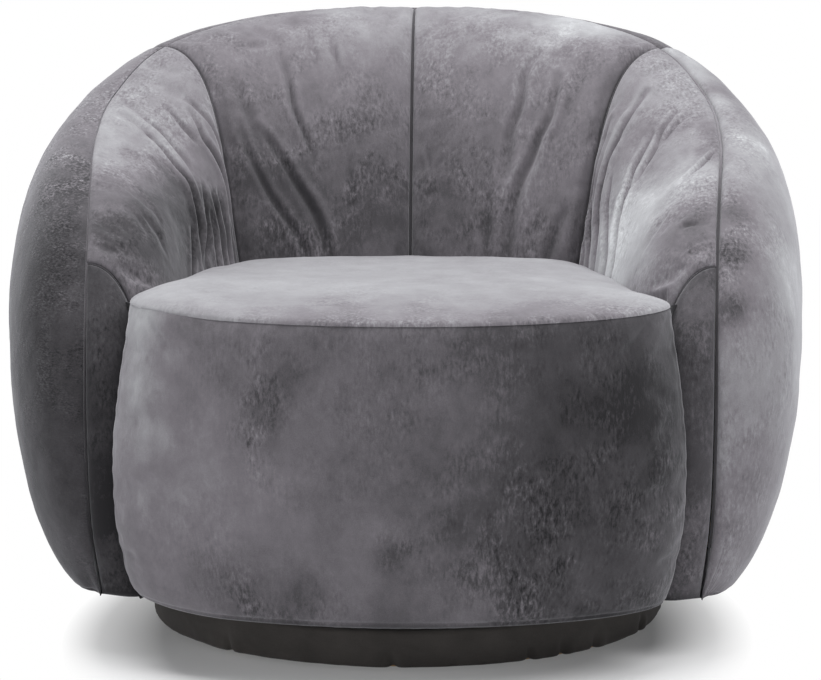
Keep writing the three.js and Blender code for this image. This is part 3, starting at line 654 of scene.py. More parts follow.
@dataclass(frozen=True)
class StretchedCloth(PlainFinish):
    """A plain dark cloth pulled tight, with a fine weave and a little dust."""

    dark: Colour = linear(66, 63, 61)
    light: Colour = linear(94, 90, 87)
    layers: tuple[Grain, ...] = weave(520.0)
    colour_shares: Values = (0.9, 0.25, 0.2)
    relief_shares: Values = (0.0, 0.6, 0.5)
    start: float = -0.2
    span: tuple[float, float] = (0.1, 0.95)
    relief: float = 0.4
    relief_depth: float = 0.6 * MM
    settings: Settings = (("Roughness", 0.92), ("Sheen Weight", 0.15), ("Sheen Roughness", 0.5),
                          ("Specular IOR Level", 0.15))


@dataclass(frozen=True)
class Plywood(PlainFinish):
    """Raw birch plywood with a long grain along X, and pores."""

    name: str = "raw_plywood"
    dark: Colour = linear(158, 122, 78)
    light: Colour = linear(214, 182, 134)
    layers: tuple[Grain, ...] = (Grain(26.0, 6.0, 0.62, 0.8, (0.35, 4.5, 4.5)),
                                 Grain(300.0, 2.0, 0.6, 0.0, (0.12, 1.0, 1.0)))
    colour_shares: Values = (1.1, 0.3)
    relief_shares: Values = (0.0, 1.0)
    start: float = -0.2
    span: tuple[float, float] = (0.15, 0.85)
    relief: float = 0.25
    relief_depth: float = 0.4 * MM
    settings: Settings = (("Roughness", 0.62),)


@dataclass(frozen=True)
class Metal(PlainFinish):
    """Rolled or plated steel with a cloudy tarnish and fine brush lines."""

    layers: tuple[Grain, ...] = (Grain(22.0, 5.0, 0.6, 0.4), Grain(500.0, 3.0, 0.6, 0.0, (1.0, 0.04, 1.0)))
    colour_shares: Values = (0.9, 0.3)
    relief_shares: Values = (0.0, 1.0)
    start: float = -0.1
    relief: float = 0.2
    relief_depth: float = 0.15 * MM


@dataclass(frozen=True)
class MouldedNylon(PlainFinish):
    """Black moulded nylon with scuffs and a fine pebbled texture."""

    name: str = "black_nylon"
    dark: Colour = linear(22, 22, 23)
    light: Colour = linear(48, 48, 50)
    layers: tuple[Grain, ...] = (Grain(60.0, 4.0, 0.6, 0.5), Grain(900.0, 2.0, 0.5))
    colour_shares: Values = (1.0, 0.0)
    relief_shares: Values = (0.0, 1.0)
    span: tuple[float, float] = (0.35, 0.75)
    relief: float = 0.3
    relief_depth: float = 0.2 * MM
    settings: Settings = (("Roughness", 0.48),)


@dataclass(frozen=True)
class OpenFoam(PlainFinish):
    """Cream seat foam, yellowed in places, with open cells."""

    name: str = "seat_foam_cells"
    dark: Colour = linear(206, 192, 140)
    light: Colour = linear(240, 230, 190)
    layers: tuple[Grain, ...] = (Grain(9.0, 4.0, 0.6, 0.3), Grain(480.0, 2.0, 0.7))
    colour_shares: Values = (0.8, 0.3)
    relief_shares: Values = (0.0, 1.0)
    start: float = -0.05
    relief: float = 0.6
    relief_depth: float = 0.8 * MM
    settings: Settings = (("Roughness", 1.0),)


# The shell's curves, the same as the frame's


def table_value(table: Values, place: Array, odd: bool = False) -> Array:
    """Smooth curve through a table that runs from the middle of the back to the foot of an arm front.

    Args:
        table: values at even stations.
        place: shares of the way, negative on the left.
        odd: whether the value changes sign on the left.

    Returns:
        The value at each place.
    """
    values = np.array(table, float)
    last = len(values) - 1
    along = np.abs(place) * last
    cell = np.clip(np.floor(along).astype(int), 0, last - 1)
    t = along - cell
    start, end = values[cell], values[cell + 1]
    before = np.where(cell > 0, values[np.maximum(cell - 1, 0)], (-1 if odd else 1) * values[1])
    after = np.where(cell + 1 < last, values[np.minimum(cell + 2, last)], 2 * end - start)
    slope_start, slope_end = (end - before) / 2, (after - start) / 2
    rise = start - end
    curve = ((2 * rise + slope_start + slope_end) * t - 3 * rise - 2 * slope_start - slope_end) * t
    curve = (curve + slope_start) * t + start
    return np.sign(place) * curve if odd else curve


@dataclass(frozen=True)
class Directions:
    """Unit directions of the shell at some places."""

    outward: Array
    away: Array
    leaving: Array
    rising: Array
    behind: Array


@dataclass(frozen=True)
class ShellCurves:
    """The rim, the feet of the pads and covers, and the curved columns between them.

    The seams are shares of the way along the rim. Each table has eleven values at even stations, from
    the middle of the back to the foot of an arm front; the turns, tilts and leans are shares of a
    right angle.
    """

    rim_half_width: float = 410 * MM
    rim_back: float = 345 * MM
    arm_front: float = 298 * MM
    rim_top: float = 784 * MM
    underside: float = 79 * MM
    foot_half_width: float = 424 * MM
    foot_back: float = 345 * MM
    inner_half_width: float = 332 * MM
    inner_back: float = 122 * MM
    ledge: float = 400 * MM
    side_bulge: float = 98 * MM
    back_bulge: float = 116 * MM
    widest: float = 0.4
    seam_depth: float = 36 * MM
    rim_side: Values = (0, 0.488, 0.824, 0.97, 1, 0.985, 0.968, 0.961, 0.961, 0.954, 0.927)
    rim_depth: Values = (1, 0.953, 0.812, 0.642, 0.465, 0.279, 0.124, 0.031, 0, 0.016, 0.056)
    rim_height: Values = (1, 0.986, 0.937, 0.855, 0.791, 0.724, 0.634, 0.513, 0.342, 0.148, 0)
    inner_side: Values = (0, 0.392, 0.648, 0.753, 0.813, 0.867, 0.949, 0.994, 1, 0.994, 0.97)
    inner_depth: Values = (1, 0.96, 0.882, 0.694, 0.541, 0.376, 0.212, 0.089, 0.056, 0.066, 0.106)
    inner_height: Values = (1, 1, 1, 1, 1, 1, 0.99, 0.87, 0.62, 0.3, 0)
    foot_side: Values = (0, 0.457, 0.765, 0.925, 0.986, 1, 0.995, 0.982, 0.961, 0.934, 0.902)
    foot_depth: Values = (1, 0.969, 0.829, 0.667, 0.496, 0.364, 0.264, 0.186, 0.132, 0.093, 0.07)
    plan_turn: Values = (1, 0.755, 0.467, 0.222, 0.067, 0.022, 0, 0, 0, 0, 0)
    rim_turn: Values = (0, 0, 0.055, 0.155, 0.233, 0.31, 0.53, 0.83, 1, 1.07, 1.11)
    seam_tilt: Values = (-0.067, -0.03, 0.03, 0.1, 0.13, 0.1, 0.02, -0.07, -0.11, -0.155, -0.18)
    pad_lean: Values = (0.155, 0.155, 0.18, 0.22, 0.245, 0.22, 0.11, 0, 0, 0, 0)
    pad_rise: Values = (0.42, 0.42, 0.42, 0.42, 0.42, 0.42, 0.42, 0.44, 0.46, 0.46, 0.46)
    pad_lip: Values = (0.27, 0.28, 0.31, 0.34, 0.355, 0.36, 0.37, 0.38, 0.39, 0.39, 0.39)
    bulge: Values = (1, 0.98, 0.93, 0.96, 1, 1.04, 1.06, 1.02, 0.95, 0.85, 0.7)
    foot_turn: float = 0.46
    lower_share: float = 0.4
    upper_share: float = 0.6
    back_seam: float = 0.2
    arm_seam: float = 0.63
    pad_crown: float = 15 * MM
    crown_side_power: float = 4
    crown_rim_power: float = 6
    crown_foot_loss: float = 0.6
    crown_foot_power: float = 8

    def line(self, place: Array, half_width: float, back: float, side: Values,
             depth: Values, height: Array) -> Array:
        """Points of one guiding line of the shell, from its reach and its tables of width and depth."""
        y = -self.arm_front + (back + self.arm_front) * table_value(depth, place)
        return np.stack([half_width * table_value(side, place, odd=True), y, height], -1)

    def rim(self, place: Array) -> Array:
        """Points of the rim seam."""
        height = self.underside + (self.rim_top - self.underside) * table_value(self.rim_height, place)
        return self.line(place, self.rim_half_width, self.rim_back, self.rim_side, self.rim_depth, height)

    def inner_foot(self, place: Array) -> Array:
        """Points where the inner pads start."""
        height = self.underside + (self.ledge - self.underside) * table_value(self.inner_height, place)
        return self.line(place, self.inner_half_width, self.inner_back, self.inner_side,
                         self.inner_depth, height)

    def outer_foot(self, place: Array) -> Array:
        """Points of the lower edge of the covers."""
        height = np.full(place.shape, self.underside)
        return self.line(place, self.foot_half_width, self.foot_back, self.foot_side, self.foot_depth, height)

    def directions(self, place: Array) -> Directions:
        """Which ways the shell faces, rises and leaves its seam.

        Args:
            place: places along the rim.

        Returns:
            Unit directions at each place.
        """
        plan = RIGHT_ANGLE * table_value(self.plan_turn, place)
        turn = RIGHT_ANGLE * table_value(self.rim_turn, place)
        tilt = (RIGHT_ANGLE * table_value(self.seam_tilt, place))[..., None]
        lean = (RIGHT_ANGLE * table_value(self.pad_lean, place))[..., None]
        zero = np.zeros(place.shape)
        outward = unit(np.stack([np.sign(place) * np.cos(plan), np.sin(plan), zero], -1))
        away = np.stack([zero, -np.sin(turn), np.cos(turn)], -1)
        behind = outward * np.maximum(np.cos(turn), 0)[..., None]
        behind[..., 1] += np.sin(np.minimum(turn, RIGHT_ANGLE))
        return Directions(outward, away, outward * np.cos(tilt) + away * np.sin(tilt),
                          away * np.cos(lean) + outward * np.sin(lean), unit(behind))

    def pad_columns(self, place: Array, depth: float = 0.0) -> list[Array]:
        """Control points of the pads' columns.

        Args:
            place: places along the rim.
            depth: how far they are set in for the hidden face.

        Returns:
            Four points per place, from foot to rim.
        """
        way = self.directions(place)
        foot, seam = self.inner_foot(place), self.rim(place)
        chord = np.linalg.norm(seam - foot, axis=-1, keepdims=True)
        lower = foot + way.rising * chord * table_value(self.pad_rise, place)[..., None]
        upper = seam - way.leaving * chord * table_value(self.pad_lip, place)[..., None]
        if depth:
            drop = way.away * depth
            return [foot + way.behind * depth, lower + way.behind * depth, upper - drop,
                    seam - way.away * self.seam_depth]
        return [foot, lower, upper, seam]

    def cover_columns(self, place: Array, depth: float = 0.0) -> list[Array]:
        """Control points of the covers' columns.

        Args:
            place: places along the rim.
            depth: how far they are set in for the hidden face.

        Returns:
            Four points per place, from foot to rim.
        """
        way = self.directions(place)
        foot, seam = self.outer_foot(place), self.rim(place)
        chord = np.linalg.norm(seam - foot, axis=-1)
        widest = np.array([self.widest])
        widest_chord = np.linalg.norm(self.rim(widest) - self.outer_foot(widest), axis=-1)[0]
        back_slim = self.back_bulge / (self.rim_top - self.underside)
        side_slim = self.side_bulge / widest_chord
        slim = back_slim + (side_slim - back_slim) * np.minimum(np.abs(place) / self.widest, 1)
        reach = (slim * chord * table_value(self.bulge, place) * 8 / 3)[..., None]
        turn = RIGHT_ANGLE * self.foot_turn
        tilt = (RIGHT_ANGLE * table_value(self.seam_tilt, place))[..., None]
        lower = foot + way.outward * reach * self.lower_share
        lower[..., 2] += (reach[..., 0] * self.lower_share) * math.tan(turn)
        upper = seam + way.leaving * reach * self.upper_share / np.cos(tilt)
        if depth:
            return [foot - way.outward * depth, lower - way.outward * depth,
                    upper - way.outward * depth / 2 - way.away * depth, seam - way.away * self.seam_depth]
        return [foot, lower, upper, seam]

    def surface(self, layer: Layer, place: Array, rise: Array, depth: float = 0.0) -> Array:
        """Grid of points of a skin of the shell.

        Args:
            layer: pads or covers.
            place: one share along the rim per column.
            rise: one share from foot to rim per row.
            depth: how far the hidden face is set in, or 0 for the seen face.

        Returns:
            Points by rows and columns.
        """
        columns = self.pad_columns if layer is Layer.PAD else self.cover_columns
        points = columns(place, depth)
        t = rise[:, None, None]
        s = 1 - t
        return points[0] * s**3 + points[1] * 3 * s * s * t + points[2] * 3 * s * t * t + points[3] * t**3

    def crown_height(self, crown: float, rise: Array, across: Array) -> Array:
        """How far a panel's crown stands out by rows and columns, where across runs from -1 to 1."""
        foot = 1 - self.crown_foot_loss * (1 - rise) ** self.crown_foot_power
        lift = crown * ((1 - rise**self.crown_rim_power) * foot)[:, None]
        return lift * np.maximum(1 - np.abs(across) ** self.crown_side_power, 0)


SHELL = ShellCurves()


# Sewn and padded surfaces


@dataclass(frozen=True)
class Fold:
    """One fold of the velvet: a valley along a path, with soft ridges beside it.

    The path's points are thousandths of the way along the rim and from foot to rim. Widths and depth
    are in millimetres. The fuller ridge lies on the right of the path where its sign is 1. The ridges'
    place and width are counted in valley widths.
    """

    path: tuple[tuple[float, float], ...]
    widths: tuple[float, float]
    depth: float
    ridge: float = 0.6
    other_ridge: float = 0.25
    side: int = 1
    valley_width: float = 0.78 * MM
    ridge_place: float = 1.75
    ridge_width: float = 1.1
    end_margin: float = 0.03
    taper_power: float = 0.6

    def relief(self, grid: Array, normals: Array, line: Array) -> Array:
        """How far the fold moves each point of a grid along its normal.

        Args:
            grid: points by rows and columns.
            normals: their unit normals.
            line: points along the fold.

        Returns:
            One distance per point.
        """
        best = np.full(grid.shape[:2], np.inf)
        side = np.zeros(grid.shape[:2])
        along = np.zeros(grid.shape[:2])
        count = len(line) - 1
        for i in range(count):
            start, step = line[i], line[i + 1] - line[i]
            t = np.clip(((grid - start) @ step) / (step @ step), 0, 1)
            offset = grid - (start + t[..., None] * step)
            distance = np.linalg.norm(offset, axis=-1)
            nearer = distance < best
            turn = np.einsum("ijk,ijk->ij", np.cross(step, offset), normals)
            best = np.where(nearer, distance, best)
            side = np.where(nearer, np.sign(turn), side)
            along = np.where(nearer, (i + t) / count, along)
        inside = np.clip(along * (1 - 2 * self.end_margin) + self.end_margin, 0, 1)
        taper = np.sin(np.pi * inside) ** self.taper_power
        width = (self.widths[0] + (self.widths[1] - self.widths[0]) * along) * self.valley_width
        signed = best * side * self.side / width
        valley = np.exp(-(signed**2))
        ridges = self.ridge * np.exp(-(((signed + self.ridge_place) / self.ridge_width) ** 2))
        ridges += self.other_ridge * np.exp(-(((signed - self.ridge_place) / self.ridge_width) ** 2))
        return taper * self.depth * MM * (ridges - valley)


@dataclass(frozen=True)
class NapAndShadePatch:
    """A patch that is lighter or darker, and more or less crushed, round a point in millimetres: mostly pile
    brushed one way, some of them painted shade beside seams.
    """

    x: float
    y: float
    z: float
    radius: float
    tone: float
    crush: float = 0.0


@dataclass(frozen=True)
class PileAndShade:
    """How light and how crushed the pile is: plain values, patches of brushed pile and of painted shade, and
    a painted shadow along the hem.
    """

    tone: float
    crush: float
    patches: tuple[NapAndShadePatch, ...]
    seed: int
    patch_fall: float = 1.4
    hem_shadow: float = 0.0
    hem_reach: float = 7 * MM

    def values(self, points: Array) -> tuple[Array, Array]:
        """The pile at each point.

        Args:
            points: places in metres, in rows of three numbers.

        Returns:
            The tone and the crush of each place.
        """
        tones = np.full(points.shape[:-1], self.tone)
        crushes = np.full(points.shape[:-1], self.crush)
        ragged = (1 + 0.4 * fractal(points, 90 * MM, 3, self.seed)
                  + 0.14 * fractal(points, 26 * MM, 2, self.seed + 1))
        for patch in self.patches:
            centre = np.array([patch.x, patch.y, patch.z]) * MM
            distance = np.linalg.norm(points - centre, axis=-1) / (patch.radius * MM)
            share = np.exp(-((distance * ragged) ** 2) * self.patch_fall)
            tones += patch.tone * share
            crushes += patch.crush * share
        # Painted shadow: darker along the hem at the foot of the shell.
        hem = np.exp(-(((points[..., 2] - SHELL.underside) / self.hem_reach) ** 2))
        return tones - self.hem_shadow * hem, np.maximum(crushes, 0)


def smooth_path(points: Array, count: int) -> Array:
    """Even points along a smooth curve through a few points."""
    return refine_matrix(len(points), count) @ points


@dataclass(frozen=True)
class Stuffing:
    """How a pad swells in the cloth simulation: its cover is pinned at the seams and filled from behind."""

    pressure: float = 4.0
    spare: float = 0.02
    cap: float = 6 * MM
    frames: int = 20
    quality: int = 4
    mass: float = 0.25
    stretch_stiffness: float = 12
    shear_stiffness: float = 4
    bending_stiffness: float = 0.6
    edge_fade: float = 5
    edge_power: float = 1.5

    def simulated(self, seen: Array, hidden: Array) -> Array:
        """Where the seen face's points come to rest under pressure.

        Args:
            seen: coarse grid of the seen face.
            hidden: coarse grid of the hidden face.

        Returns:
            The seen grid after the last frame.
        """
        rows, columns = seen.shape[:2]
        points = both_faces(seen, hidden)
        mesh = bpy.data.meshes.new("filling_pad")
        mesh.from_pydata(points.tolist(), [], face_out(points, closed_faces(rows, columns)))
        pad = add_object("filling_pad", mesh)
        held = np.ones((rows, columns), bool)
        held[1:-1, 1:-1] = False
        pinned = np.flatnonzero(np.concatenate([held.ravel(), np.ones(rows * columns, bool)]))
        pad.vertex_groups.new(name="held").add(pinned.tolist(), 1.0, "REPLACE")
        cloth = pad.modifiers.new("cloth", "CLOTH")
        settings = cloth.settings
        settings.quality = self.quality
        settings.mass = self.mass
        settings.tension_stiffness = self.stretch_stiffness
        settings.compression_stiffness = self.stretch_stiffness
        settings.shear_stiffness = self.shear_stiffness
        settings.bending_stiffness = self.bending_stiffness
        settings.shrink_min = -self.spare
        settings.vertex_group_mass = "held"
        settings.use_pressure = True
        settings.uniform_pressure_force = self.pressure
        settings.effector_weights.gravity = 0
        cloth.collision_settings.use_collision = False
        cloth.collision_settings.use_self_collision = False
        scene = bpy.context.scene
        for step in range(1, self.frames + 1):
            scene.frame_set(step)
        depsgraph = bpy.context.evaluated_depsgraph_get()
        moved = np.zeros(len(points) * 3, np.float32)
        pad.evaluated_get(depsgraph).data.vertices.foreach_get("co", moved)
        bpy.data.objects.remove(pad)
        bpy.data.meshes.remove(mesh)
        scene.frame_set(1)
        return moved.reshape(-1, 3)[: rows * columns].reshape(rows, columns, 3)

    def swell(self, seen: Array, hidden: Array) -> Array:
        """How far each point of a pad's seen face moves as its cover fills.

        Args:
            seen: coarse grid of the seen face.
            hidden: coarse grid of the hidden face.

        Returns:
            A move for each point of the seen face, faded at the seams and eased down to the cap.
        """
        rows, columns = seen.shape[:2]
        move = self.simulated(seen, hidden) - seen
        from_side = np.minimum(np.arange(columns), np.arange(columns)[::-1])
        from_end = np.minimum(np.arange(rows), np.arange(rows)[::-1])
        nearest = np.minimum(from_side[None, :], from_end[:, None])
        move = move * np.clip(nearest / self.edge_fade, 0, 1)[..., None] ** self.edge_power
        length = np.maximum(np.linalg.norm(move, axis=-1, keepdims=True), 1e-9)
        return move / length * self.cap * np.tanh(length / self.cap)


@dataclass(frozen=True)
class Sewing:
    """How a panel is drawn in along its seams, and how its velvet is crumpled.

    The pulls are how deeply each edge is drawn in, and the gathers how much it puckers: first side,
    last side, rim and foot. The room is how many seam widths a panel needs to be sewn at full depth.
    """

    width: float = 13 * MM
    narrowest: float = 0.6
    depth: float = 6 * MM
    pulls: Edges = (1.0, 1.0, 1.0, 0.0)
    gathers: Edges = (0.2, 0.2, 0.4, 0.5)
    pucker: float = 0.9 * MM
    pucker_reach: float = 22 * MM
    pucker_pitch: float = 17 * MM
    pucker_length: float = 90 * MM
    pucker_start: float = 3 * MM
    crumple: float = 0.6 * MM
    crumple_size: float = 34 * MM
    wave: float = 1.2 * MM
    wave_size: float = 120 * MM
    hem: float = 0.0
    hem_height: float = 9 * MM
    hem_width: float = 2 * MM
    room: float = 4

    def relief(self, grid: Array, seed: int) -> Array:
        """How far the sewing and crumpling move each point of a grid along its normal.

        Args:
            grid: points by rows and columns, the last row at the rim seam.
            seed: which pattern of puckers.

        Returns:
            One distance per point, negative inward.
        """
        across, upward = run_lengths(grid, 1), run_lengths(grid, 0)
        edges = (across, across[:, -1:] - across, upward[-1:] - upward, upward)
        drawn = np.zeros(grid.shape[:2])
        puckers = np.zeros(grid.shape[:2])
        nearest = np.full(grid.shape[:2], 1.0)
        for number, (edge, pull, gather) in enumerate(zip(edges, self.pulls, self.gathers)):
            if pull <= 0:
                continue
            width = self.width * (self.narrowest + (1 - self.narrowest) * pull)
            inside = np.clip(1 - edge / width, 0, 1)
            drawn = np.minimum(drawn, -pull * self.depth * (1 - np.sqrt(1 - inside**2)))
            nearest = np.minimum(nearest, edge)
            travel = upward if number < 2 else across
            jitter = 0.35 * fractal(grid, 60 * MM, 2, seed + 70 + number)
            line = np.stack([travel / self.pucker_pitch + jitter, edge / self.pucker_length,
                             np.full(edge.shape, number + 0.5)], -1)
            fade = np.exp(-((edge / self.pucker_reach) ** 1.3)) * np.clip(edge / self.pucker_start, 0, 1)
            puckers += lattice_noise(line, seed + number) * fade * self.pucker * gather
        calm = np.clip(nearest / (2 * self.width), 0, 1)
        crumple = fractal(grid, self.crumple_size, 3, seed + 11) * self.crumple
        wave = fractal(grid, self.wave_size, 2, seed + 31) * self.wave
        hem = -self.hem * np.exp(-(((upward - self.hem_height) / self.hem_width) ** 2))
        full = self.room * self.width
        room = np.clip(upward[-1:] / full, 0, 1) * np.clip(across[:, -1:] / full, 0, 1)
        return (drawn + puckers + hem + (crumple + wave) * calm) * room


def eased(count: int, bias: float = 0.35) -> Array:
    """Shares from 0 to 1 that crowd a little towards both ends."""
    even = np.linspace(0, 1, count)
    return (1 - bias) * even + bias * (1 - np.cos(np.pi * even)) / 2


@dataclass
class ShellPanel:
    """One sewn panel of the shell: an inner pad or an outer cover between two seams.

    First and last are the seams' places along the rim. The gap keeps the panel clear of its
    neighbours, and the rim gap keeps pads and covers apart in the last part below the rim.
    """

    node: str
    layer: Layer
    first: float
    last: float
    columns: int
    crown: float
    thickness: float
    finish: Material
    slot: str
    fill: float
    seed: int
    tone: float
    patches: tuple[NapAndShadePatch, ...]
    rows: int = 120
    crush: float = 0.9
    fold_shade: float = 24.0
    shade_limits: tuple[float, float] = (-0.3, 0.12)
    hem_shadow: float = 0.22
    folds: tuple[Fold, ...] = ()
    sewing: Sewing = field(default_factory=Sewing)
    stuffing: Stuffing | None = None
    gap: float = 0.0006
    rim_gap: float = 0.6 * MM
    rim_start: float = 0.97
    coarse: int = 2

    def places(self, columns: int) -> Array:
        """The columns' places along the rim."""
        return self.first + self.gap + (self.last - self.first - 2 * self.gap) * eased(columns)

    def grids(self, columns: int, rows: int) -> tuple[Array, Array]:
        """The seen and hidden faces before sewing.

        Args:
            columns: columns of both.
            rows: rows of both.

        Returns:
            Two grids of points.
        """
        place, rise = self.places(columns), eased(rows)
        facing = self.layer.value
        seen = SHELL.surface(self.layer, place, rise)
        hidden = SHELL.surface(self.layer, place, rise, self.thickness)
        across = 2 * (place - self.first) / (self.last - self.first) - 1
        seen = seen + grid_normals(seen) * facing * SHELL.crown_height(self.crown, rise, across)[..., None]
        shift = SHELL.directions(place).leaving * self.rim_gap * -facing
        near_rim = np.clip((rise - self.rim_start) / (1 - self.rim_start), 0, 1)[:, None, None]
        return seen + shift * near_rim, hidden + shift * near_rim

    def fold_line(self, seen: Array, fold: Fold) -> Array:
        """Points on the seen face along a fold's path.

        Args:
            seen: the seen face.
            fold: the fold.

        Returns:
            Points in metres.
        """
        path = smooth_path(np.array(fold.path) / 1000, 30)
        stations = (path[:, 0] - self.first - self.gap) / (self.last - self.first - 2 * self.gap)
        column = np.interp(stations, eased(self.columns), np.arange(self.columns))
        row = np.interp(path[:, 1], eased(self.rows), np.arange(self.rows))
        left = np.clip(column.astype(int), 0, self.columns - 2)
        low = np.clip(row.astype(int), 0, self.rows - 2)
        u, v = (column - left)[:, None], (row - low)[:, None]
        lower = seen[low, left] * (1 - u) + seen[low, left + 1] * u
        upper = seen[low + 1, left] * (1 - u) + seen[low + 1, left + 1] * u
        return lower * (1 - v) + upper * v

    def shaped(self) -> tuple[Array, Array, Array]:
        """The panel filled, folded and drawn in.

        Returns:
            The seen face, the hidden face and how deep the folds are.
        """
        seen, hidden = self.grids(self.columns, self.rows)
        if self.stuffing:
            coarse = self.grids(self.columns // self.coarse, self.rows // self.coarse)
            seen = seen + spread(self.stuffing.swell(*coarse), self.rows, self.columns)
        normals = grid_normals(seen) * self.layer.value
        folded = np.zeros(seen.shape[:2])
        for fold in self.folds:
            folded += fold.relief(seen, normals, self.fold_line(seen, fold))
        offset = self.sewing.relief(seen, self.seed) + folded
        return seen + normals * offset[..., None], hidden, folded

    def build(self) -> None:
        """The finished panel on the seat body, with painted shade in its folds' valleys and painted light on
        their ridges.
        """
        seen, hidden, folded = self.shaped()
        points = both_faces(seen, hidden)
        points[:, 2] = np.maximum(points[:, 2], SHELL.underside)
        piece = make_piece(f"{self.node}_velvet", points, closed_faces(self.rows, self.columns), self.finish)
        velvet = PileAndShade(self.tone, self.crush, self.patches, self.seed + 5, hem_shadow=self.hem_shadow)
        tone, crush = velvet.values(points)
        # Painted shade: darker in each fold's valley, lighter on its ridges.
        shade = np.clip(folded * self.fold_shade, *self.shade_limits).ravel()
        set_pile_and_shade(piece, tone + np.concatenate([shade, np.zeros(hidden[..., 0].size)]), crush)
        settle(piece, "seat", (self.node,))


BACK_FOLDS = {
    Side.LEFT: (
        Fold(((-112, 670), (-109, 560), (-107, 484), (-98, 416), (-90, 340)), (7, 5), 6, 0.6, 0.5),
        Fold(((-150, 460), (-128, 367), (-113, 296), (-96, 226), (-86, 164), (-80, 70)), (7, 9), 7, 0.8,
              0.3, -1),
        Fold(((-174, 500), (-167, 392), (-149, 287), (-131, 220), (-112, 149), (-100, 70)), (6, 7), 5.5,
              0.5, 0.4, -1),
        Fold(((-80, 760), (-80, 674), (-79, 600)), (6, 5), 3, 0.7, 0.4, -1),
        Fold(((-63, 710), (-62, 634), (-59, 575)), (6, 6), 4.5, 0.6, 0.5),
        Fold(((-168, 640), (-163, 550), (-159, 484), (-153, 410)), (10, 10), 4, 0.4, 0.4),
        Fold(((-55, 360), (-55, 290), (-57, 190)), (9, 8), 1.8),
        Fold(((-120, 720), (-135, 735), (-150, 760)), (6, 7), 2.5, 0.3, 0.5),
    ),
    Side.RIGHT: (
        Fold(((107, 680), (98, 580), (99, 500), (92, 416), (91, 310)), (7, 9), 6.5, 0.7, 0.8),
        Fold(((133, 620), (135, 500), (125, 419), (118, 355), (108, 293), (102, 217), (101, 60)), (7, 11),
              7.5, 0.8, 0.6, -1),
        Fold(((172, 260), (160, 177), (145, 70)), (9, 10), 4.5, 0.6, 0.3),
        Fold(((74, 270), (75, 174), (76, 60)), (7, 8), 3.5, 0.4, 0.4),
        Fold(((42, 375), (35.5, 352), (27, 333), (20, 300)), (3.5, 3.5), 2),
        Fold(((14, 370), (17.4, 336), (20, 295)), (3.5, 3.5), 2),
        Fold(((53.5, 478), (58, 459), (71, 456)), (3.5, 3.5), 1.8),
        Fold(((46, 770), (41.5, 680), (34, 600)), (10, 8), 1.8),
        Fold(((160, 740), (158, 600), (152, 450)), (11, 11), 3, 0.5, 0.5),
    ),
}
WING_FOLDS = {
    Side.LEFT: (
        Fold(((-345, 770), (-337, 607), (-322, 500), (-320, 430), (-326, 349), (-336, 270), (-360, 80)),
              (4.5, 8), 7.5, 0.7, 0.5),
        Fold(((-281, 770), (-276, 665), (-266, 560)), (4.5, 5), 4, 0.6, 0.3),
        Fold(((-249, 660), (-246, 542), (-237, 487), (-220, 383), (-216, 324), (-221, 210), (-226, 60)),
              (5, 8), 6.5, 0.6, 0.5),
        Fold(((-244, 700), (-223, 564), (-206, 450)), (5, 5), 4, 0.5, 0.4),
        Fold(((-322, 800), (-314, 647), (-299, 500)), (4, 6), 4, 0.9, 0.3),
        Fold(((-334, 950), (-342, 846), (-347, 740)), (7, 6), 2.5),
        Fold(((-300, 970), (-318, 870), (-325, 760)), (7, 6), 2),
        Fold(((-360, 340), (-385, 263), (-410, 190), (-420, 80)), (5, 9), 4.5, 0.6, 0.3),
        Fold(((-283, 420), (-293, 330), (-306, 272), (-330, 195), (-350, 60)), (5, 8), 5.5),
        Fold(((-262, 370), (-262, 269), (-264, 200), (-266, 60)), (5, 9), 5),
        Fold(((-209, 320), (-209, 210), (-210, 60)), (6, 7), 3.5),
        Fold(((-243, 360), (-243, 220), (-246, 60)), (5, 7), 4),
        Fold(((-281, 330), (-288, 200), (-297, 60)), (5, 7), 4),
        Fold(((-383, 780), (-378, 717), (-372, 640)), (5, 5), -2.5, 0, 0),
    ),
    Side.RIGHT: (
        Fold(((219, 580), (214, 470), (209, 390), (208, 300), (209, 200), (212, 60)), (5, 7), 4.5),
        Fold(((249, 780), (252.5, 660), (249, 545), (244.6, 450), (245, 364), (252, 300), (270, 220),
              (287, 60)), (5, 8), 6, 0.6, 0.5),
        Fold(((311, 700), (319, 551), (328, 462), (327, 422), (335, 330), (358, 247), (378, 80)), (5, 9), 6,
              0.6, 0.5),
        Fold(((311, 860), (322, 745), (338, 680), (342, 600), (339.5, 500)), (5, 5), 4),
        Fold(((324, 890), (337, 791), (345.3, 700)), (5, 4), 2.5),
        Fold(((428.7, 996), (429, 966), (438.7, 932), (450, 899), (462, 840), (469, 780)), (3.2, 4), 4, 1,
              0.1),
        Fold(((213, 420), (217, 315), (227, 263), (242, 183), (252, 60)), (4, 7), 4.5),
        Fold(((268, 430), (280, 339), (298, 272), (318, 200), (332, 60)), (5, 8), 5),
        Fold(((210, 300), (219, 214), (229, 152), (236, 60)), (4, 6), 3.5),
        Fold(((555, 750), (558, 806), (562, 862)), (6, 5), 2),
    ),
}


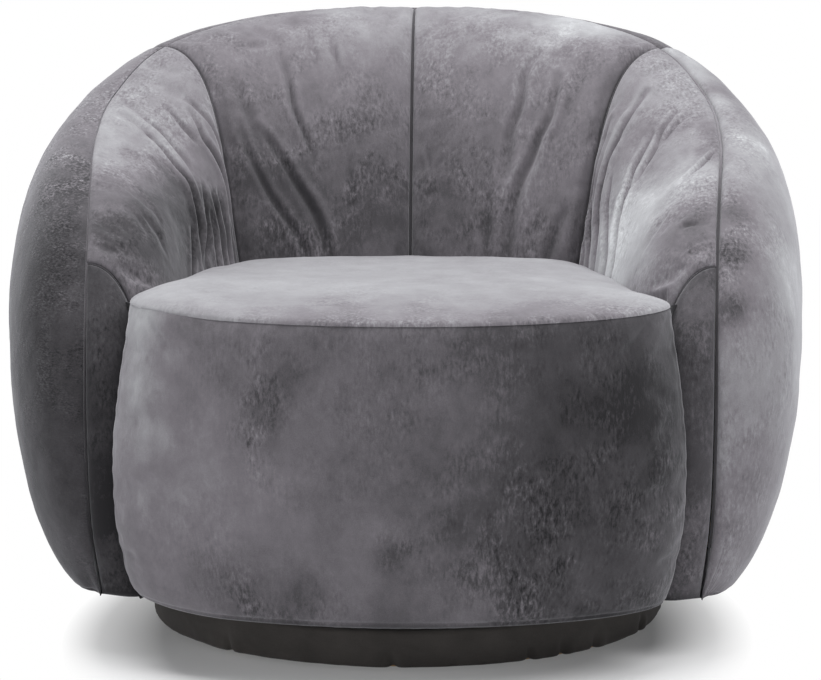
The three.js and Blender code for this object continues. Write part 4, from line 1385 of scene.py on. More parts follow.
@dataclass
class InnerShell:
    """The back pads, the gathered wings and the arm fronts, all of one velvet."""

    finish: Material
    pad_thickness: float = 50 * MM
    pad_fill: float = 0.7
    back_columns: int = 96
    wing_columns: int = 156
    arm_crown: float = 3.75 * MM
    arm_thickness: float = 30 * MM
    arm_fill: float = 0.6
    arm_columns: int = 120
    arm_rows: int = 40

    def back_pads(self) -> None:
        """The two halves of the back, each with its own slanting folds."""
        patches = (
            NapAndShadePatch(0, 330, 780, 200, 0.2, -0.5), NapAndShadePatch(-240, 280, 770, 120, 0.09, 0.2),
            NapAndShadePatch(260, 280, 780, 120, 0.43, -0.3), NapAndShadePatch(100, 260, 670, 80, -0.1),
            NapAndShadePatch(-170, 270, 700, 35, -0.12, 1.2), NapAndShadePatch(-60, 200, 560, 50, -0.1, 1.4),
            NapAndShadePatch(80, 280, 690, 40, -0.1, 1.4), NapAndShadePatch(-120, 130, 500, 160, -0.14, 0.3),
            NapAndShadePatch(100, 150, 500, 120, -0.1), NapAndShadePatch(-220, 120, 550, 100, -0.08, 0.4),
            NapAndShadePatch(50, 260, 660, 80, 0.0, 0.9), NapAndShadePatch(170, 140, 560, 60, 0.1),
        )
        pulls = {Side.LEFT: (0.55, 0.6, 0.35, 0.0), Side.RIGHT: (0.6, 1.7, 0.35, 0.0)}
        for side in Side:
            first, last = side.span(0.0, SHELL.back_seam)
            ShellPanel(f"back_pad_{side.word}", Layer.PAD, first, last, self.back_columns, SHELL.pad_crown,
                       self.pad_thickness, self.finish, "velvet_back", self.pad_fill, seed=20 + side.value,
                       tone=-0.1, patches=patches, fold_shade=15.0, folds=BACK_FOLDS[side],
                       sewing=Sewing(pulls=pulls[side]), stuffing=Stuffing()).build()

    def wing_pads(self) -> None:
        """The wings, gathered beside the back seam."""
        patches = {
            Side.LEFT: (
                NapAndShadePatch(-390, 0, 640, 170, 0.2), NapAndShadePatch(-300, 20, 490, 120, -0.26),
                NapAndShadePatch(-340, -120, 470, 140, -0.46), NapAndShadePatch(-330, 180, 720, 120, 0.03),
                NapAndShadePatch(-250, 90, 500, 90, -0.12), NapAndShadePatch(-400, -200, 500, 60, -0.1, 1.0)),
            Side.RIGHT: (
                NapAndShadePatch(370, 120, 700, 140, 0.14), NapAndShadePatch(310, -60, 500, 130, 0.42),
                NapAndShadePatch(350, 10, 620, 70, -0.22), NapAndShadePatch(366, -190, 540, 50, -0.18, 0.8),
                NapAndShadePatch(270, 80, 520, 70, -0.34), NapAndShadePatch(390, -160, 500, 50, -0.3, 1.2),
                NapAndShadePatch(370, -160, 490, 35, -0.22, 1.0)),
        }
        pulls = {Side.LEFT: (0.8, 0.35, 0.3, 0.0), Side.RIGHT: (0.5, 0.8, 1.0, 0.0)}
        gathers = {Side.LEFT: (0.3, 0.1, 0.3, 0.0), Side.RIGHT: (0.1, 0.3, 1.1, 0.0)}
        shades = {Side.LEFT: 24.0, Side.RIGHT: 36.0}
        for side in Side:
            first, last = side.span(SHELL.back_seam, SHELL.arm_seam)
            sewing = Sewing(pucker=1.2 * MM, crumple=0.8 * MM, pulls=pulls[side], gathers=gathers[side])
            ShellPanel(f"wing_pad_{side.word}", Layer.PAD, first, last, self.wing_columns, SHELL.pad_crown,
                       self.pad_thickness, self.finish, "velvet_wing", self.pad_fill, seed=40 + side.value,
                       tone=0.0, patches=patches[side], crush=1.0, fold_shade=shades[side],
                       folds=WING_FOLDS[side], sewing=sewing, stuffing=Stuffing()).build()

    def arm_fronts(self) -> None:
        """The narrow panels beside the fascia, below the sloping seams."""
        patches = (
            NapAndShadePatch(-370, -265, 460, 80, 0.13), NapAndShadePatch(375, -280, 460, 80, 0.12),
            NapAndShadePatch(-385, -270, 300, 30, 0.1), NapAndShadePatch(390, -270, 140, 70, 0.15),
            NapAndShadePatch(-370, -290, 200, 70, -0.13), NapAndShadePatch(-373, -284, 135, 50, 0.08),
        )
        tones = {Side.LEFT: -0.45, Side.RIGHT: -0.31}
        pulls = {Side.LEFT: (0.8, 0.8, 0.8, 0.8), Side.RIGHT: (0.8, 0.8, 1.1, 0.8)}
        for side in Side:
            first, last = side.span(SHELL.arm_seam, 1.0)
            sewing = Sewing(width=15 * MM, depth=6 * MM, crumple=0.6 * MM, pulls=pulls[side],
                            gathers=(0.1, 0.1, 0.2, 0.2), hem=1 * MM)
            ShellPanel(f"arm_front_{side.word}", Layer.PAD, first, last, self.arm_columns, self.arm_crown,
                       self.arm_thickness, self.finish, "velvet_arm", self.arm_fill, seed=60 + side.value,
                       tone=tones[side], patches=patches, rows=self.arm_rows, sewing=sewing).build()


@dataclass
class OuterShell:
    """The three covers round the outside."""

    side_finishes: dict[Side, Material]
    back_finish: Material
    crown: float = 7 * MM
    thickness: float = 22 * MM
    fill: float = 0.5
    side_columns: int = 170
    back_columns: int = 150
    wave: float = 2 * MM
    crumple: float = 0.5 * MM
    hem: float = 1.2 * MM

    def side_covers(self) -> None:
        """The side covers, with short gathers under the rim seam."""
        patches = {
            Side.LEFT: (
                NapAndShadePatch(-500, -140, 300, 420, -0.31, 1.5), NapAndShadePatch(-500, 0, 520, 140, 0.1, 2.0),
                NapAndShadePatch(-400, 100, 700, 200, 0.23, 1.0), NapAndShadePatch(-440, -200, 200, 200, 0.0, -1.3),
                NapAndShadePatch(-455, -200, 440, 100, -0.12), NapAndShadePatch(-470, 0, 580, 60, 0.12)),
            Side.RIGHT: (
                NapAndShadePatch(500, -100, 380, 450, 0.18), NapAndShadePatch(430, 50, 680, 140, 0.05, 0.4),
                # The three small dark patches at 420, -170; 412, -220 and 410, -265 are painted shade in the
                # valley beside the rim seam.
                NapAndShadePatch(380, 180, 740, 90, 0.22), NapAndShadePatch(420, -170, 560, 35, -0.2, 0.8),
                NapAndShadePatch(412, -220, 510, 35, -0.32, 0.7), NapAndShadePatch(410, -265, 450, 35, -0.32, 0.6),
                NapAndShadePatch(410, 100, 700, 60, 0.18), NapAndShadePatch(500, 0, 400, 200, 0.13),
                NapAndShadePatch(460, -150, 470, 70, 0.2), NapAndShadePatch(420, -250, 200, 140, -0.08, 0.5),
                NapAndShadePatch(420, -200, 500, 100, -0.04, 0.6)),
        }
        tones = {Side.LEFT: -0.15, Side.RIGHT: -0.06}
        crushes = {Side.LEFT: 0.9, Side.RIGHT: 0.6}
        rims = {Side.LEFT: 0.2, Side.RIGHT: 1.1}
        gathers = {Side.LEFT: 0.3, Side.RIGHT: 1.3}
        for side in Side:
            first, last = side.span(SHELL.back_seam, 1.0)
            sewing = Sewing(pulls=(0.8, 0.8, rims[side], 1.0), gathers=(0.2, 0.2, gathers[side], 0.3),
                            wave=self.wave, crumple=self.crumple, hem=self.hem, pucker=1.5 * MM,
                            pucker_pitch=12 * MM)
            ShellPanel(f"outer_cover_{side.word}", Layer.COVER, first, last, self.side_columns, self.crown,
                       self.thickness, self.side_finishes[side], "velvet_outer", self.fill,
                       seed=80 + side.value, tone=tones[side], patches=patches[side],
                       crush=crushes[side], sewing=sewing).build()

    def back_cover(self) -> None:
        """The cover between the two upright seams behind."""
        patches = (NapAndShadePatch(100, 450, 500, 220, -0.12, 0.6), NapAndShadePatch(-150, 450, 350, 180, 0.12))
        sewing = Sewing(pulls=(0.8, 0.8, 0.9, 1.0), wave=self.wave, crumple=self.crumple, hem=self.hem)
        ShellPanel("outer_cover_back", Layer.COVER, -SHELL.back_seam, SHELL.back_seam, self.back_columns,
                   self.crown, self.thickness, self.back_finish, "velvet_outer", self.fill, seed=90,
                   tone=-0.1, patches=patches, sewing=sewing).build()


# Fascia and seat


@dataclass(frozen=True)
class FasciaCurve:
    """The bowed front panel's outline at each height."""

    bottom_half_width: float = 330 * MM
    top_half_width: float = 336 * MM
    bottom_end: float = 288 * MM
    top_end: float = 290 * MM
    bottom_front: float = 438 * MM
    top_front: float = 466 * MM
    bulge_side: float = 27 * MM
    bulge_end: float = 26 * MM
    crown: float = 4 * MM
    bow_power: float = 1.12
    swell_power: float = 0.8
    bottom: float = 79 * MM
    top: float = 460.7 * MM

    def points(self, rise: Array, share: Array, inset: float = 0.0) -> Array:
        """Points of the panel.

        Args:
            rise: shares from bottom to top, one per row.
            share: shares from the left end, -1, to the right end, 1, one per column.
            inset: how far inside the seen face.

        Returns:
            Points by rows and columns.
        """
        swell = np.sin(np.pi * rise**self.swell_power)
        half_width = self.bottom_half_width + (self.top_half_width - self.bottom_half_width) * rise
        end = self.bottom_end + (self.top_end - self.bottom_end) * rise + self.bulge_end * swell
        front = self.bottom_front + (self.top_front - self.bottom_front) * rise + self.crown * swell
        across = (half_width + self.bulge_side * swell - inset)[:, None]
        bow = (front - inset - end)[:, None]
        angle = RIGHT_ANGLE * share[None, :]
        x = across * np.sin(angle)
        y = -end[:, None] - bow * np.maximum(np.cos(angle), 0) ** self.bow_power
        z = np.broadcast_to((self.bottom + (self.top - self.bottom) * rise)[:, None], x.shape)
        return np.stack([x, y, z], -1)

    def top_line(self, share: Array, inset: float) -> Array:
        """Points along the top edge, at shares from end to end and an inset."""
        return self.points(np.array([1.0]), share, inset)[0]


FASCIA = FasciaCurve()


@dataclass(frozen=True)
class SeatSeam:
    """Where the seam between fascia and seat begins: left of it the cloth runs over unsewn."""

    start: float = -0.3
    fade: float = 0.07

    def share(self, x: Array, least: float = 0.0) -> Array:
        """How fully the seam is sewn at each place from left to right."""
        return np.clip((x - self.start) / self.fade, least, 1)


SEAT_SEAM = SeatSeam()


@dataclass
class FasciaPanel:
    """The padded front panel, tight at its top seam and tucked under at the foot."""

    finish: Material
    columns: int = 190
    rows: int = 92
    coarse: int = 2
    thickness: float = 44 * MM
    hidden_top_drop: float = 32 * MM
    left_lift: float = 10 * MM
    lift_start: float = 0.2
    lift_fade: float = 0.13
    seed: int = 7
    pile_seed: int = 3

    def grids(self, columns: int, rows: int) -> tuple[Array, Array]:
        """Seen and hidden faces before sewing.

        Args:
            columns: columns of both.
            rows: rows of both.

        Returns:
            Two grids of points.
        """
        rise, share = eased(rows, 0.6), 2 * eased(columns, 0.2) - 1
        seen = FASCIA.points(rise, share)
        hidden = FASCIA.points(rise, share, self.thickness)
        height = FASCIA.top - FASCIA.bottom
        hidden[..., 2] -= (self.hidden_top_drop * rise)[:, None] * (hidden[..., 2] - FASCIA.bottom) / height
        return seen, hidden

    def shaped(self) -> tuple[Array, Array]:
        """The panel filled and drawn in, with its puffed and lifted left corner.

        Returns:
            The seen face and the hidden face.
        """
        seen, hidden = self.grids(self.columns, self.rows)
        coarse = self.grids(self.columns // self.coarse, self.rows // self.coarse)
        seen = seen + spread(Stuffing(cap=4 * MM).swell(*coarse), self.rows, self.columns)
        normals = grid_normals(seen)
        sewing = Sewing(width=15 * MM, depth=7 * MM, pulls=(1.2, 1.2, 0.55, 1.0), pucker=0.9 * MM,
                        crumple=0.4 * MM, wave=1.6 * MM, hem=1.6 * MM, gathers=(0.05, 0.05, 0.4, 0.2))
        flowing = replace(sewing, pulls=(1.2, 1.2, 0.0, 1.0))
        sewn = SEAT_SEAM.share(seen[..., 0])
        offset = sewn * sewing.relief(seen, self.seed) + (1 - sewn) * flowing.relief(seen, self.seed)
        seen = seen + normals * offset[..., None]
        low = ((FASCIA.top - seen[..., 2]) / (FASCIA.top - FASCIA.bottom)) ** 4
        corner = np.clip((-seen[..., 0] - self.lift_start) / self.lift_fade, 0, 1)
        seen[..., 2] += self.left_lift * corner**2 * low
        return seen, hidden

    def build(self) -> None:
        """The finished panel."""
        points = both_faces(*self.shaped())
        piece = make_piece("front_fascia_velvet", points, closed_faces(self.rows, self.columns), self.finish)
        patches = (
            NapAndShadePatch(-360, -330, 300, 100, 0.15), NapAndShadePatch(-330, -350, 460, 100, 0.4),
            NapAndShadePatch(-220, -430, 260, 200, 0.15), NapAndShadePatch(290, -420, 340, 240, -0.22, 0.8),
            NapAndShadePatch(350, -330, 360, 100, -0.17), NapAndShadePatch(300, -380, 160, 140, -0.1, 0.9),
            NapAndShadePatch(352, -300, 220, 50, 0.12, 2.2), NapAndShadePatch(-125, -455, 400, 30, -0.13, 0.4),
            NapAndShadePatch(-150, -455, 370, 30, -0.07, 0.4), NapAndShadePatch(-150, -450, 345, 38, -0.11, 0.5),
            NapAndShadePatch(-180, -450, 310, 35, -0.04, 0.7), NapAndShadePatch(-200, -450, 390, 40, -0.06, 0.5),
            NapAndShadePatch(-130, -450, 110, 60, -0.08, 1.4), NapAndShadePatch(-200, -420, 120, 50, -0.08, 1.2),
            NapAndShadePatch(170, -440, 100, 80, -0.04, 0.8), NapAndShadePatch(0, -470, 440, 200, 0.02, 0.3),
            NapAndShadePatch(20, -470, 300, 140, -0.05), NapAndShadePatch(0, -450, 150, 100, 0.05),
            NapAndShadePatch(0, -440, 80, 70, -0.07), NapAndShadePatch(250, -400, 100, 80, -0.06),
        )
        velvet = PileAndShade(-0.14, 0.22, patches, self.pile_seed, hem_shadow=0.22)
        set_pile_and_shade(piece, *velvet.values(points))
        settle(piece, "seat", ("front_fascia",))


@dataclass
class SeatCushion:
    """The crowned seat: its sides follow the pads, and its front edge is sewn to the fascia.

    The puffed corner is its left ear, where the seam isn't drawn in.
    """

    finish: Material
    seam_height: float = 461 * MM
    crown: float = 17 * MM
    wall_drop: float = 5 * MM
    thickness: float = 32 * MM
    front_inset: float = 44 * MM
    centre_reach: float = 110 * MM
    pad_gap: float = 1.8 * MM
    ear: float = 0.605
    side_points: int = 170
    front_points: int = 150
    wall_rows: int = 260
    rings: int = 56
    edge_roll: float = 9 * MM
    edge_depth: float = 3 * MM
    least_sewn: float = 0.15
    left_puff: float = 10 * MM
    puff_place: float = -0.29
    puff_width: float = 0.09
    crumple: float = 0.55 * MM
    wave: float = 1.6 * MM
    pucker: float = 0.8 * MM
    calm_reach: float = 0.03

    def wall(self, place: Array, height: float) -> Array:
        """Points of the pads' faces, moved a little towards the middle of the seat.

        Args:
            place: places along the rim.
            height: the height of the points.

        Returns:
            One point per place.
        """
        rise = np.linspace(0, 1, self.wall_rows)
        grid = SHELL.surface(Layer.PAD, place, rise)
        steps = np.abs(place)
        first = np.where(steps <= SHELL.back_seam, 0.0, SHELL.back_seam)
        last = np.where(steps <= SHELL.back_seam, SHELL.back_seam, SHELL.arm_seam)
        across = 2 * (steps - first) / (last - first) - 1
        shown = grid + grid_normals(grid) * SHELL.crown_height(SHELL.pad_crown, rise, across)[..., None]
        row = np.argmax(shown[..., 2] > height, axis=0)
        columns = np.arange(len(place))
        low, high = shown[row - 1, columns], shown[row, columns]
        t = ((height - low[:, 2]) / (high[:, 2] - low[:, 2]))[:, None]
        point = low + (high - low) * t
        inward = unit(np.stack([-point[:, 0], -self.centre_reach - point[:, 1], np.zeros(len(place))], -1))
        point = point + inward * self.pad_gap
        point[:, 2] = height
        return point

    def ring(self, height: float, front_height: float, inset: float) -> Array:
        """One ring round the cushion, from the left ear round the back, and back along the fascia.

        Args:
            height: its height along the pads.
            front_height: its height along the fascia.
            inset: how far inside the fascia's seen face.

        Returns:
            Points round the ring.
        """
        place = np.linspace(-self.ear, self.ear, self.side_points)
        place = np.where(np.abs(place) < 1e-4, 1e-4, place)
        front = FASCIA.top_line(np.linspace(1, -1, self.front_points + 2)[1:-1], inset)
        front[:, 2] = front_height
        return np.concatenate([self.wall(place, height), front])

    def relief(self, top: Array) -> Array:
        """How far the velvet of the top is lifted: crumples, gathers, the rolled edge and the puffed corner.

        Args:
            top: points of the top, by rings from the edge inward.

        Returns:
            One lift per point.
        """
        distance = np.minimum(np.linalg.norm(top - top[:1], axis=-1), 0.4)
        crumple = fractal(top, 46 * MM, 3, 301) * self.crumple + fractal(top, 150 * MM, 2, 305) * self.wave
        travel = np.broadcast_to(np.arange(top.shape[1])[None, :] * 0.31, distance.shape)
        pucker = lattice_noise(np.stack([travel, distance / 0.06, np.zeros_like(distance)], -1), 311)
        pucker = pucker * self.pucker * np.exp(-distance / 0.02) * np.clip(distance / 0.004, 0, 1)
        lift = crumple * np.clip(distance / self.calm_reach, 0, 1) + pucker
        drawn = np.clip(1 - distance / self.edge_roll, 0, 1)
        sewn = SEAT_SEAM.share(top[..., 0], self.least_sewn)
        beside = np.exp(-(((top[..., 0] - self.puff_place) / self.puff_width) ** 2))
        beside = beside * np.clip((0.06 - top[..., 1]) / 0.12, 0, 1)
        puff = self.left_puff * beside * (1 - np.exp(-distance / 0.012))
        return lift + puff - self.edge_depth * sewn * (1 - np.sqrt(1 - drawn**2))

    def build(self) -> None:
        """The finished cushion."""
        bottom = self.seam_height - self.thickness
        low = self.ring(bottom, bottom, self.front_inset)
        edge = self.ring(self.seam_height - self.wall_drop, self.seam_height, 0.0)
        for _ in range(3):
            edge = 0.5 * edge + 0.25 * (np.roll(edge, 1, 0) + np.roll(edge, -1, 0))
        centre = np.array([0.0, -self.centre_reach, self.seam_height + self.crown])
        rings = [low, low + (edge - low) * 0.7]
        for share in 1 - np.linspace(0, 1, self.rings)[:-1] ** 1.6:
            ring = centre + (edge - centre) * share
            ring[:, 2] = edge[:, 2] + (centre[2] - edge[:, 2]) * math.sqrt(max(1 - share**3, 0))
            rings.append(ring)
        stack = np.array(rings)
        stack[2:, :, 2] += self.relief(stack[2:])
        points = np.concatenate([stack.reshape(-1, 3), [centre], [low.mean(0)]])
        piece = make_piece("seat_top_velvet", points, capped_faces(*stack.shape[:2]), self.finish, 70)
        patches = (
            NapAndShadePatch(-50, -200, 470, 300, 0.06), NapAndShadePatch(250, -360, 470, 100, -0.04, 0.5),
            NapAndShadePatch(-80, -470, 460, 100, -0.12, 0.9), NapAndShadePatch(40, -475, 460, 100, -0.12, 0.9),
            NapAndShadePatch(160, -455, 460, 100, -0.17, 0.9), NapAndShadePatch(260, -410, 460, 70, -0.08, 1.0),
            NapAndShadePatch(-300, -280, 470, 130, 0.08), NapAndShadePatch(300, -260, 470, 120, 0.14),
        )
        set_pile_and_shade(piece, *PileAndShade(0.12, 0.4, patches, 9).values(points))
        settle(piece, "seat", ("seat_top",))


@dataclass
class Seams:
    """Thin sewn joins that lie at the bottom of the grooves between panels, darkened as painted shade of the
    grooves.

    The sinks are how deep they lie, less at the left rim. The rim's joins change their painted shade along
    it.
    """

    finish: Material
    radius: float = 1.9 * MM
    sink: float = 5.5 * MM
    shallow_sink: float = 5 * MM
    sides: int = 8
    # Painted shade: the joins' own tone, dark as the grooves' shade.
    dark: float = -0.34
    rim_end: float = 0.93
    rim_places: Values = (0, 0.18, 0.24, 0.42, 0.52, 0.7, 0.93)
    rim_shade_tones: dict[Side, Values] = field(default_factory=lambda: {
        Side.LEFT: (-0.25, -0.15, 0.0, 0.0, -0.1, -0.2, -0.3),
        Side.RIGHT: (-0.25, -0.15, 0.05, 0.05, -0.3, -0.4, -0.4)})
    seat_span: tuple[float, float] = (-0.62, 0.97)
    seat_inset: float = 3.5 * MM
    seat_height: float = 458.5 * MM

    def tube(self, name: str, path: Array, tone: Array | None = None) -> None:
        """One join.

        Args:
            name: the piece's name.
            path: points along it.
            tone: the painted shade's tone at each point of the path, or None for the dark default.
        """
        tangent = unit(np.gradient(path, axis=0))
        side = np.cross(tangent, (0.31, 0.27, 0.91))
        for i in range(1, len(path)):
            side[i] = side[i - 1] - tangent[i] * (side[i - 1] @ tangent[i])
        side = unit(side)
        over = np.cross(side, tangent)
        angle = full_turn(self.sides)
        rings = (path[:, None] + side[:, None] * (self.radius * np.cos(angle))[None, :, None]
                 + over[:, None] * (self.radius * np.sin(angle))[None, :, None])
        points = rings.reshape(-1, 3)
        faces = ring_faces(len(path), self.sides)
        faces.append(tuple(reversed(range(self.sides))))
        faces.append(tuple(range(len(points) - self.sides, len(points))))
        piece = make_piece(name, points, faces, self.finish)
        tones = np.broadcast_to(self.dark if tone is None else tone, len(path))
        set_pile_and_shade(piece, np.repeat(tones, self.sides), np.zeros(len(points)))
        settle(piece, "seat")

    def column(self, place: float, start: float, layer: Layer) -> Array:
        """The path of an upright seam, sunk into its groove.

        Args:
            place: its place along the rim.
            start: the share from foot to rim where it begins.
            layer: pads or covers.

        Returns:
            Points up to the rim.
        """
        rise = np.linspace(start, 0.995, 70)
        near = np.array([place - 0.01, place, place + 0.01])
        grid = SHELL.surface(layer, near, rise)
        return grid[:, 1] - grid_normals(grid)[:, 1] * layer.value * self.sink

    def build(self) -> None:
        """Every seam between the panels."""
        self.tube("seam_back_centre", self.column(0.0, 0.1, Layer.PAD))
        for side in Side:
            back, arm = side.value * SHELL.back_seam, side.value * SHELL.arm_seam
            for name, path, slot in (
                    ("wing", self.column(back, 0.1, Layer.PAD), "velvet_wing"),
                    ("arm", self.column(arm, 0.12, Layer.PAD), "velvet_arm"),
                    ("cover", self.column(back, 0.02, Layer.COVER), "velvet_outer")):
                self.tube(f"seam_{name}_{side.word}", path)
            place = side.value * np.linspace(0.0, self.rim_end, 150)
            sink = self.sink if side is Side.RIGHT else self.shallow_sink
            rim = SHELL.rim(place) - SHELL.directions(place).away * sink
            tone = np.interp(np.abs(place), self.rim_places, self.rim_shade_tones[side])
            self.tube(f"seam_rim_{side.word}", rim, tone)
        front = FASCIA.top_line(np.linspace(*self.seat_span, 120), self.seat_inset)
        front[:, 2] = self.seat_height
        self.tube("seam_seat_front", front)


@dataclass
class Closings:
    """The strips beside the fascia, painted dark as the shade of the slots, and the cloth over the base
    board's edge.
    """

    velvet: Material
    lining: Material
    inset: float = 5 * MM
    forward: float = 2 * MM
    arm_rise: float = 0.14
    arm_place: float = 0.645
    top: float = 456 * MM
    bow: float = 4 * MM
    tuck: float = 1.5 * MM
    thick: float = 1.2 * MM
    rows: int = 60
    columns: int = 8
    around: int = 960
    board_centre: Plan = (0.0, -0.06)

    def arm_line(self, side: Side, heights: Array) -> Array:
        """Points on an arm front's face, close to its inner edge.

        Args:
            side: which arm.
            heights: the heights of the points.

        Returns:
            One point per height.
        """
        place = side.value * np.linspace(0.995, self.arm_place, 80)
        low = SHELL.surface(Layer.PAD, place, np.array([self.arm_rise]))[0]
        rise = np.linspace(self.arm_rise, 0.9, 60)
        up = SHELL.surface(Layer.PAD, np.array([side.value * self.arm_place]), rise)
        line = np.concatenate([low, up[1:, 0]])
        line = line[np.argsort(line[:, 2])]
        return np.stack([np.interp(heights, line[:, 2], line[:, k]) for k in (0, 1)] + [heights], -1)

    def strips(self) -> None:
        """The strips that close the slots between the fascia's ends and the arm fronts, painted dark as the
        slots' shade.
        """
        rise = np.linspace(0.01, (self.top - FASCIA.bottom) / (FASCIA.top - FASCIA.bottom), self.rows)
        share = np.linspace(0, 1, self.columns)[None, :, None]
        for side in Side:
            start = FASCIA.points(rise, np.array([float(side.value)]), self.inset)[:, 0]
            start[:, 1] -= self.forward
            end = self.arm_line(side, start[:, 2])
            inward = unit(np.array([-side.value * 1.0, 0.6, 0.0]))
            seen = start[:, None] * (1 - share) + end[:, None] * share
            seen = seen + inward * (self.bow * np.sin(np.pi * share) + self.tuck * share)
            points = both_faces(seen, seen + inward * self.thick)
            strip = make_piece(f"slot_strip_{side.word}", points, closed_faces(self.rows, self.columns),
                               self.velvet)
            # Painted shade: the strips' tone is darker than the fascia's.
            set_pile_and_shade(strip, np.full(len(points), -0.5), np.full(len(points), 0.4))
            settle(strip, "seat")

    def board_edge(self) -> None:
        """The black cloth turned up over the edge of the base board."""
        low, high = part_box("base_board")
        angles = full_turn(self.around)
        reach = node_outline("base_board", self.board_centre, angles)
        levels = ((0.4, low[2] - 0.2 * MM), (0.9, low[2] + 1.5 * MM), (0.9, high[2] - 1 * MM),
                  (0.4, high[2] - 0.5 * MM), (0.2, high[2] - 1 * MM), (0.2, low[2] + 1.5 * MM))
        rings = [round_points(angles, reach + out * MM, level, self.board_centre) for out, level in levels]
        faces = ring_faces(len(rings), self.around)
        last = (len(rings) - 1) * self.around
        for i in range(self.around):
            j = (i + 1) % self.around
            faces.append((last + i, last + j, j, i))
        band = make_piece("base_board_edge_cloth", np.concatenate(rings), faces, self.lining)
        settle(band, "seat")


# Hidden soft parts and the plinth's cloth


def node_outline(node: str, centre: Plan, angles: Array) -> Array:
    """How far a node reaches in plan from a centre, in each direction.

    Args:
        node: the node's name.
        centre: x and y of the centre.
        angles: directions in radians.

    Returns:
        One reach per direction.
    """
    mesh = frame["nodes"][node].data
    spots = np.array([v.co[:2] for v in mesh.vertices]) - np.array(centre)
    ends = np.array([edge.vertices[:] for edge in mesh.edges])
    start, step = spots[ends[:, 0]], spots[ends[:, 1]] - spots[ends[:, 0]]
    reach = np.zeros(len(angles))
    for i, angle in enumerate(angles):
        way = np.array([math.cos(angle), math.sin(angle)])
        cross = way[0] * step[:, 1] - way[1] * step[:, 0]
        safe = np.where(np.abs(cross) < 1e-12, np.nan, cross)
        along = (start[:, 0] * step[:, 1] - start[:, 1] * step[:, 0]) / safe
        part = (start[:, 0] * way[1] - start[:, 1] * way[0]) / safe
        hit = along[(part >= -1e-6) & (part <= 1 + 1e-6) & (along > 0)]
        reach[i] = hit.max() if len(hit) else 0.0
    return reach


